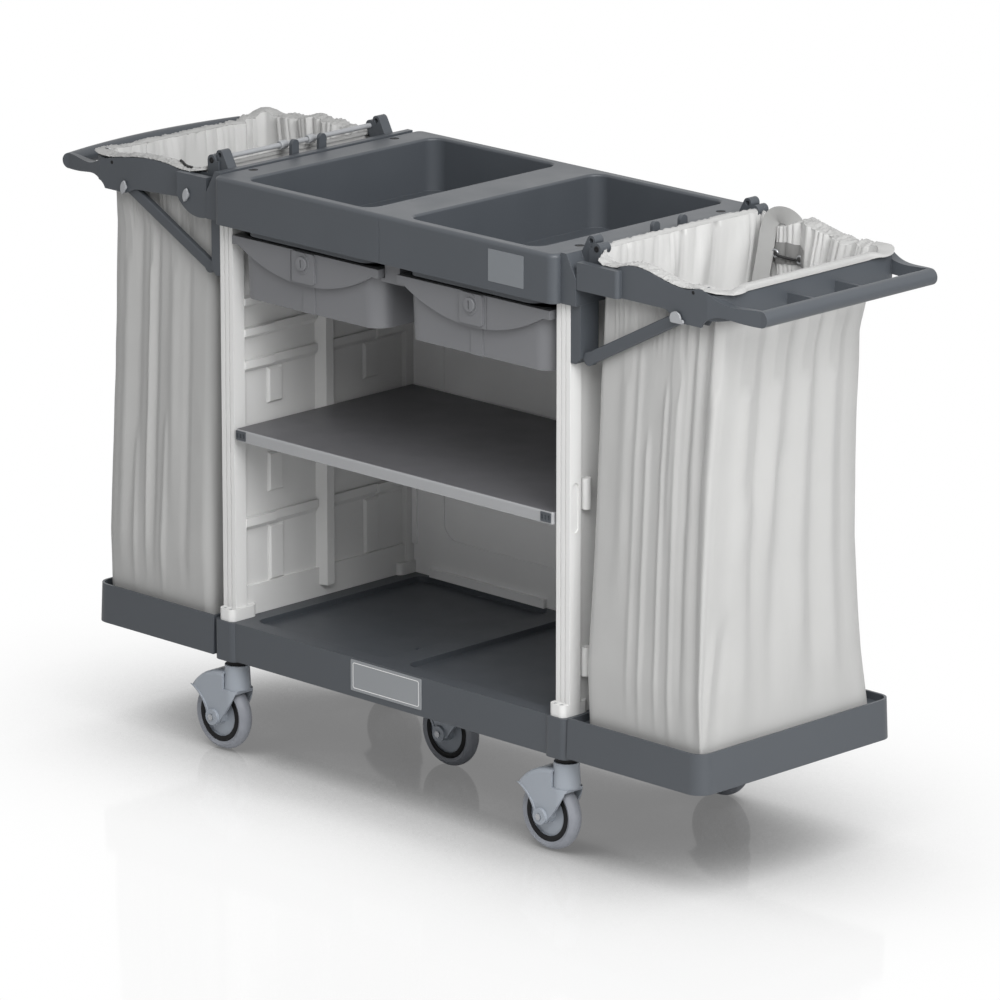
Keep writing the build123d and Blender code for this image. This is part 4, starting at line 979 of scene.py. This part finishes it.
# Right bag, in mm: sewn flap on the inside of the back wall as (X, Z), strap beside it as (X, Y, Z)
FLAP_TOP = ((556, 1123), (600, 1128), (640, 1120))
FLAP_LOW = ((554, 1083), (606, 1086), (642, 1086))
FLAP_EYES = ((572, 1104), (630, 1100))
FLAP_EYE_GAP = 5.2  # mm from the wall to an eyelet's back
FLAP_ENDS = (556, 640)
FLAP_GRID = (16, 8)  # faces along and up the flap
STRAP = ((612, 214, 1152), (606, 211, 1167), (584, 206, 1178), (560, 201, 1174), (553, 195, 1150),
         (555, 185, 1105), (553, 176, 1060), (549, 170, 1020))
STRAP_WIDTH = 32 * MM
STRAP_THICKNESS = 1.4 * MM
STRAP_FACING = Vector((0.45, -0.89, 0.0))
# Lacing between the flap's eyelets, in mm: eyelet, X and Z from it, out from the wall
FLAP_LACE = ((0, 0, 0, 5), (0, 6, -1, 10), (0, 22, -4, 11), (1, -14, -3, 11), (1, -4, -1, 10), (1, 0, 0, 5))
# Left bag: eyelet on the hem's outer front corner, lacing at its inner front corner
HEM_EYE = (-823, -210)
HEM_EYE_SINK = 0.4  # mm that the eyelet is pressed into the hem
LACE_SEAT = 0.55  # share of its diameter that the lacing's middle lies above the hem
HEM_LACE = ((-606, -221), (-596, -226), (-584, -231), (-572, -233), (-562, -231))


class TROLLEY_OT_bag_fittings(bpy.types.Operator):
    """Adds the flap, strap, eyelets and lacing of the two bags"""
    bl_idname = "trolley.bag_fittings"
    bl_label = "Bag fittings"

    def execute(self, context):
        graph = context.evaluated_depsgraph_get()
        look = {side: BVHTree.FromObject(bpy.data.objects[side + "_bag_cloth"], graph) for side in SIDES}

        def on_back(x, z, gap):
            hit = look["right"].ray_cast(Vector((x * MM, 0.1, z * MM)), Vector((0, 1, 0)))[0]
            return hit - Vector((0, gap * MM, 0))

        def on_hem(x, y):
            return look["left"].ray_cast(Vector((x * MM, y * MM, 1.3)), Vector((0, 0, -1)))

        rows = []
        for k in np.linspace(0, 1, FLAP_GRID[1] + 1):
            row = []
            for x in np.linspace(*FLAP_ENDS, FLAP_GRID[0] + 1):
                z = np.interp(x, *zip(*FLAP_LOW)) * (1 - k) + np.interp(x, *zip(*FLAP_TOP)) * k
                row.append(on_back(x, z, 2.5 + 2.0 * math.sin(math.pi * k)))
            rows.append(row)
        flap = put(solid_cloth(cloth_mesh(rows), sizes().cloth, ("flap_cloth",)), "right_bag_flap",
                   "chassis", "bag_cloth")
        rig.sheet(flap, flat=(0.086, 0.042), held="laid", rests_on=["right_bag_cloth"])
        fold_with_holder(flap, "right")
        eyes = [(on_back(x, z, FLAP_EYE_GAP), (0, -1, 0)) for x, z in FLAP_EYES]
        eyelets = fittings(EYELET, eyes, 3, "right_bag_eyelets", "zinc_plated_steel", "steel")
        fold_with_holder(eyelets, "right")
        route = [on_back(FLAP_EYES[n][0] + dx, FLAP_EYES[n][1] + dz, gap) for n, dx, dz, gap in FLAP_LACE]
        lace(route, "right_bag_lacing", "right")
        spot = on_hem(*HEM_EYE)
        eyes = [(spot[0] - spot[1] * HEM_EYE_SINK * MM, spot[1])]
        eyelet = fittings(EYELET, eyes, 4, "left_bag_eyelet", "zinc_plated_steel", "steel")
        fold_with_holder(eyelet, "left")
        route = [on_hem(x, y)[0] + Vector((0, 0, LACE * LACE_SEAT)) for x, y in HEM_LACE]
        lace(route, "left_bag_lacing", "left")
        path, length = path_of([Vector(p) * MM for p in STRAP])
        rows = []
        for a, b, c in zip([path[0]] + path, path, path[1:] + [path[-1]]):
            wide = (c - a).cross(STRAP_FACING).normalized() * STRAP_WIDTH / 2
            flank, crown = STRAP_FACING * 0.6 * MM, STRAP_FACING * 0.8 * MM
            rows.append([b - wide, b - wide * 0.5 + flank, b + crown, b + wide * 0.5 + flank, b + wide])
        strap = put(solid_cloth(cloth_mesh(rows), STRAP_THICKNESS, ("strap_webbing",)), "right_bag_strap",
                    "chassis", "bag_cloth")
        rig.sheet(strap, flat=(STRAP_WIDTH, length), held="hung", rests_on=["right_bag_cloth"])
        fold_with_holder(strap, "right")
        return {"FINISHED"}


# Fasteners, drawn as (radius, height) profiles in mm about their own axis
PLUG = ((0.02, 0.0), (0.02, 1.5), (6.0, 1.6), (8.2, 1.3), (9.0, 0.6), (9.0, 0.0))
SMALL_PLUG = ((0.02, -1.0), (0.02, 0.9), (2.4, 0.8), (3.5, 0.2), (3.6, -1.0))
SCREW = ((0.02, 0.0), (0.02, 1.0), (1.6, 1.1), (1.8, 2.4), (2.8, 2.3), (3.8, 1.5), (4.1, 0.5), (4.1, 0.0))
DECK_PLUGS = (436, 190, 1160)
FOOT_SCREWS = ((440.5, 256, 294), (456.5, 256, 294))
ROD_CAP = ((0.02, 0.1), (0.02, 1.3), (4.0, 1.3), (5.6, 0.9), (6.0, 0.3), (6.0, 0.1))
ROD_ENDS = (514, 226, 1174)
ROD_CLIP = ((5.1, -9.0), (7.6, -9.0), (8.4, -8.2), (8.4, 8.2), (7.6, 9.0), (5.1, 9.0))
ROD_CLIPS = ((-514, -37, 1174), (-514, 37, 1174))
ARM_PLUGS = {"right": (777, 247, 1142), "left": (775, 247, 1131)}


class TROLLEY_OT_fasteners(bpy.types.Operator):
    """Sets the plugs in the deck and the holders' arms and the screws on the panels' feet"""
    bl_idname = "trolley.fasteners"
    bl_label = "Plugs and screws"

    def execute(self, context):
        def mirrored(x, y, z, outward=False):
            return [(Vector((sx * x, sy * y, z)) * MM, (0, sy, 0) if outward else (0, 0, 1))
                    for sx in (-1, 1) for sy in (-1, 1)]

        fittings(PLUG, mirrored(*DECK_PLUGS), 5, "deck_plugs", "black_nylon", "slate_plastic")
        fittings(ROD_CAP, mirrored(*ROD_ENDS, True), 6, "rod_end_caps", "black_nylon", "slate_plastic")
        clips = [(Vector(p) * MM, (0, 1, 0)) for p in ROD_CLIPS]
        fittings(ROD_CLIP, clips, 8, "left_rod_clips", "light_nylon_trim", "light_trim")
        screws = [place for spot in FOOT_SCREWS for place in mirrored(*spot)]
        fittings(SCREW, screws, 7, "foot_screws", "zinc_plated_steel", "steel")
        for side, flip in SIDES.items():
            x, y, z = ARM_PLUGS[side]
            places = [(Vector((flip * x, way * y, z)) * MM, (0, way, 0)) for way in (-1, 1)]
            fittings(SMALL_PLUG, places, 9, side + "_arm_plugs", "black_nylon", "slate_plastic",
                     side + "_holder")
        return {"FINISHED"}


ROUND_STEPS = 6  # faces round one corner of a plate


def rounded_outline(width, height, radius, grow=0.0):
    """Points (x, z) round a rectangle with rounded corners, moved out by grow."""
    outline = []
    for cx, cz, first in ((1, 1, 0), (-1, 1, 90), (-1, -1, 180), (1, -1, 270)):
        for i in range(ROUND_STEPS + 1):
            turn = math.radians(first + 90 * i / ROUND_STEPS)
            r = radius + grow
            outline.append((cx * (width / 2 - radius) + r * math.cos(turn),
                            cz * (height / 2 - radius) + r * math.sin(turn)))
    return outline


def rounded_plate(width, height, depth, radius):
    """A flat plate with rounded corners and a softened rim, facing -Y, its back at y = 0."""
    outline = rounded_outline(width, height, radius)
    shape = bmesh.new()
    rim = depth * 0.3
    rings = []
    for inset, y in ((0, 0), (0, -depth + rim), (rim, -depth)):
        kx, kz = 1 - 2 * inset / width, 1 - 2 * inset / height
        rings.append([shape.verts.new((x * kx, y, z * kz)) for x, z in outline])
    bridge(shape, rings)
    shape.faces.new(rings[-1])
    shape.faces.new(list(reversed(rings[0])))
    bmesh.ops.recalc_face_normals(shape, faces=shape.faces)
    return shape


def line_frame(width, height, radius, line, depth):
    """A thin raised line round a rounded rectangle, facing -Y, its back at y = 0."""
    shape = bmesh.new()
    loops = []
    for grow, y in ((line / 2, 0.0), (line / 2, -depth), (-line / 2, -depth), (-line / 2, 0.0)):
        loops.append([shape.verts.new((x, y, z)) for x, z in rounded_outline(width, height, radius, grow)])
    bridge(shape, loops, True)
    bmesh.ops.recalc_face_normals(shape, faces=shape.faces)
    return shape


BASE_FRONT = -0.262  # Y of the base's front face between its pillars
PLATE_MIDDLE = (-0.004, 0.2385)  # X and Z
LABEL_MIDDLE = (0.334, 1.116)
# Width, height, depth and corner radius
PLATE = (0.192, 0.062, 1.2 * MM, 3 * MM)
LABEL = (0.092, 0.062, 0.6 * MM, 2 * MM)
# Width, height, corner radius, line width and depth of the line, and how deep it stands on the plate
PLATE_LINE = (0.178, 0.050, 4 * MM, 1.6 * MM, 0.3 * MM)
LINE_SEAT = 1.15 * MM


class TROLLEY_OT_plates(bpy.types.Operator):
    """Puts a bare plate on the base's front and a bare label on the tray's front"""
    bl_idname = "trolley.plates"
    bl_label = "Bare plates"

    def execute(self, context):
        def piece(shape, middle, y, name, slot, finish):
            spot = Matrix.Translation((middle[0], y, middle[1]))
            put(mesh_of(shape, name, spot), name, "chassis", slot, finish)

        piece(rounded_plate(*PLATE), PLATE_MIDDLE, BASE_FRONT, "base_plate", "light_trim", "printed_plate")
        piece(line_frame(*PLATE_LINE), PLATE_MIDDLE, BASE_FRONT - LINE_SEAT, "base_plate_line",
              "light_trim", "plate_line")
        piece(rounded_plate(*LABEL), LABEL_MIDDLE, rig.box("top_tray")[0].y, "tray_label", "slate_plastic",
              "vinyl_label")
        return {"FINISHED"}


def lathe(profile, steps):
    """Turns (radius, along) points in mm into a closed ring about the Y axis."""
    shape = bmesh.new()
    rings = []
    for i in range(steps):
        turn = 2 * math.pi * i / steps
        rings.append([shape.verts.new((MM * r * math.cos(turn), MM * y, MM * r * math.sin(turn)))
                      for r, y in profile])
    for face in bridge(shape, rings, True):
        face.smooth = True
    bmesh.ops.recalc_face_normals(shape, faces=shape.faces)
    return shape


GUARD_PROFILE = ((42.6, 11.9), (42.6, 12.8), (43.4, 13.4), (48.0, 13.7),
                 (52.4, 13.4), (53.4, 12.9), (53.4, 12.0))
GUARD_SIDES = 72


class TROLLEY_OT_thread_guards(bpy.types.Operator):
    """Puts the black thread guards on both faces of every wheel"""
    bl_idname = "trolley.thread_guards"
    bl_label = "Thread guards"

    def execute(self, context):
        for wheel in WHEELS:
            low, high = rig.box(wheel + "_hub")
            centre = (low + high) / 2
            both = bmesh.new()
            for face in (-1, 1):
                profile = [(r, face * y) for r, y in GUARD_PROFILE]
                part = mesh_of(lathe(profile, GUARD_SIDES), "ring")
                both.from_mesh(part)
                bpy.data.meshes.remove(part)
            mesh = mesh_of(both, "guards", Matrix.Translation(centre))
            put(mesh, wheel + "_thread_guards", wheel + "_wheel", "tyre_grey", "black_nylon")
        return {"FINISHED"}


def point_at(obj, target):
    direction = Vector(target) - obj.location
    obj.rotation_mode = "QUATERNION"
    obj.rotation_quaternion = direction.to_track_quat("-Z", "Y")


def area_light(name, place, target, size, power):
    lamp = bpy.data.lights.new(name, "AREA")
    lamp.shape = "RECTANGLE"
    lamp.size, lamp.size_y = size
    lamp.energy = power
    obj = bpy.data.objects.new(name, lamp)
    obj.location = place
    point_at(obj, target)
    bpy.context.scene.collection.objects.link(obj)


SHADOW_REACH = 0.7  # metres around a spot of floor that hide its sky
SHADOW_SKY = (0.22, 1.0)  # share of open sky in the deepest shadow and in the open
SHADOW_TONE = (0.17, 1.0)  # and how bright the camera sees the floor there
FLOOR_MIRROR = 0.05
MIRROR_BLUR = 0.08


def studio_floor_material():
    """White studio floor. For the camera its white is darkened where the trolley hides the sky over it,
    a painted shadow, with a faint reflection; all other rays meet plain pale paint."""
    material, tree = new_material("studio_floor")
    sky = add(tree, "ShaderNodeAmbientOcclusion", {"Distance": SHADOW_REACH}, samples=16)
    # painted shadow: the floor's brightness follows how much sky each spot of it sees
    tone = remap(tree, sky.outputs["AO"], SHADOW_SKY, SHADOW_TONE, "SMOOTHSTEP")
    white = add(tree, "ShaderNodeEmission", {"Color": WHITE, "Strength": tone})
    mirror = add(tree, "ShaderNodeBsdfGlossy", {"Color": WHITE, "Roughness": MIRROR_BLUR})
    seen = add(tree, "ShaderNodeMixShader", {
        0: FLOOR_MIRROR, 1: white.outputs[0], 2: mirror.outputs[0]})
    paint = add(tree, "ShaderNodeBsdfPrincipled", {"Base Color": tuple(colours().floor), "Roughness": 0.4})
    path = add(tree, "ShaderNodeLightPath")
    whole = add(tree, "ShaderNodeMixShader", {0: path.outputs["Is Camera Ray"], 1: paint.outputs[0],
                                              2: seen.outputs[0]})
    add(tree, "ShaderNodeOutputMaterial", {"Surface": whole.outputs[0]})
    return material


# Soft lights: name, place, target, size, watts
LIGHTS = (("key_softbox", (4.2, -0.8, 4.2), (0.0, 0.0, 0.7), (2.5, 2.5), 160),
          ("camera_softbox", (2.8, -2.8, 4.2), (0.0, 0.0, 0.8), (3.0, 3.0), 150),
          ("right_softbox", (5.0, -1.2, 2.0), (0.2, 0.0, 0.6), (2.6, 2.6), 48))
SKY_LIGHT = 0.35
FLOOR_REACH = 40.0
CAMERA_TARGET = Vector((0.042, 0.0, 0.5605))
CAMERA_TURN = math.radians(44.69)
CAMERA_LIFT = math.radians(15.58)
CAMERA_DISTANCE = 14.589
CAMERA_LENS = 274.45


class TROLLEY_OT_stage(bpy.types.Operator):
    """Sets the floor, the soft lights and the camera"""
    bl_idname = "trolley.stage"
    bl_label = "Stage"

    def execute(self, context):
        scene = context.scene
        scene.view_settings.view_transform = "Standard"
        plane = bmesh.new()
        bmesh.ops.create_grid(plane, x_segments=2, y_segments=2, size=FLOOR_REACH)
        mesh = mesh_of(plane, "floor")
        mesh.materials.append(studio_floor_material())
        floor = bpy.data.objects.new("floor", mesh)
        scene.collection.objects.link(floor)
        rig.stage(floor)
        world = bpy.data.worlds.new("studio")
        scene.world = world
        world.use_nodes = True
        tree = world.node_tree
        tree.nodes.clear()
        path = add(tree, "ShaderNodeLightPath")
        direct = add(tree, "ShaderNodeMath", {
            0: path.outputs["Is Camera Ray"], 1: path.outputs["Is Glossy Ray"]}, operation="MAXIMUM")
        seen = add(tree, "ShaderNodeMath", {
            0: direct.outputs[0], 1: path.outputs["Is Transmission Ray"]}, operation="MAXIMUM")
        light = add(tree, "ShaderNodeBackground", {"Color": WHITE, "Strength": SKY_LIGHT})
        white = add(tree, "ShaderNodeBackground", {"Color": WHITE, "Strength": 1.0})
        whole = add(tree, "ShaderNodeMixShader", {
            0: seen.outputs[0], 1: light.outputs[0], 2: white.outputs[0]})
        add(tree, "ShaderNodeOutputWorld", {"Surface": whole.outputs[0]})
        for lamp in LIGHTS:
            area_light(*lamp)
        back = Vector((math.sin(CAMERA_TURN) * math.cos(CAMERA_LIFT),
                       -math.cos(CAMERA_TURN) * math.cos(CAMERA_LIFT), math.sin(CAMERA_LIFT)))
        camera = bpy.data.objects.new("camera", bpy.data.cameras.new("camera"))
        camera.data.lens = CAMERA_LENS
        camera.data.sensor_width = 36.0
        camera.data.clip_end = 200.0
        camera.location = CAMERA_TARGET + back * CAMERA_DISTANCE
        point_at(camera, CAMERA_TARGET)
        scene.collection.objects.link(camera)
        scene.camera = camera
        return {"FINISHED"}


OPERATORS = (TROLLEY_OT_stage, TROLLEY_OT_finishes, TROLLEY_OT_bags, TROLLEY_OT_bag_fittings,
             TROLLEY_OT_plates, TROLLEY_OT_fasteners, TROLLEY_OT_thread_guards)


class TROLLEY_PT_panel(bpy.types.Panel):
    """Lists what dresses the trolley"""
    bl_idname = "TROLLEY_PT_panel"
    bl_label = "Trolley"
    bl_space_type = "VIEW_3D"
    bl_region_type = "UI"
    bl_category = "Trolley"

    def draw(self, context):
        for group in (context.scene.trolley_colours, context.scene.trolley_sizes):
            for name in group.__annotations__:
                self.layout.prop(group, name)
        for operator in OPERATORS:
            self.layout.operator(operator.bl_idname)


CLASSES = (TrolleyColours, TrolleySizes) + OPERATORS + (TROLLEY_PT_panel,)


def register():
    for cls in CLASSES:
        bpy.utils.register_class(cls)
    bpy.types.Scene.trolley_colours = bpy.props.PointerProperty(type=TrolleyColours)
    bpy.types.Scene.trolley_sizes = bpy.props.PointerProperty(type=TrolleySizes)


def unregister():
    del bpy.types.Scene.trolley_sizes
    del bpy.types.Scene.trolley_colours
    for cls in reversed(CLASSES):
        bpy.utils.unregister_class(cls)


def main():
    register()
    bpy.ops.trolley.stage()
    bpy.ops.trolley.finishes()
    bpy.ops.trolley.bags()
    bpy.ops.trolley.bag_fittings()
    bpy.ops.trolley.plates()
    bpy.ops.trolley.fasteners()
    bpy.ops.trolley.thread_guards()
    with open("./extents.json", "w") as file:
        json.dump({"cad": CAD_BOX, "visual": [list(corner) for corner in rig.bounds()]}, file)


if __name__ == "__main__":
    main()
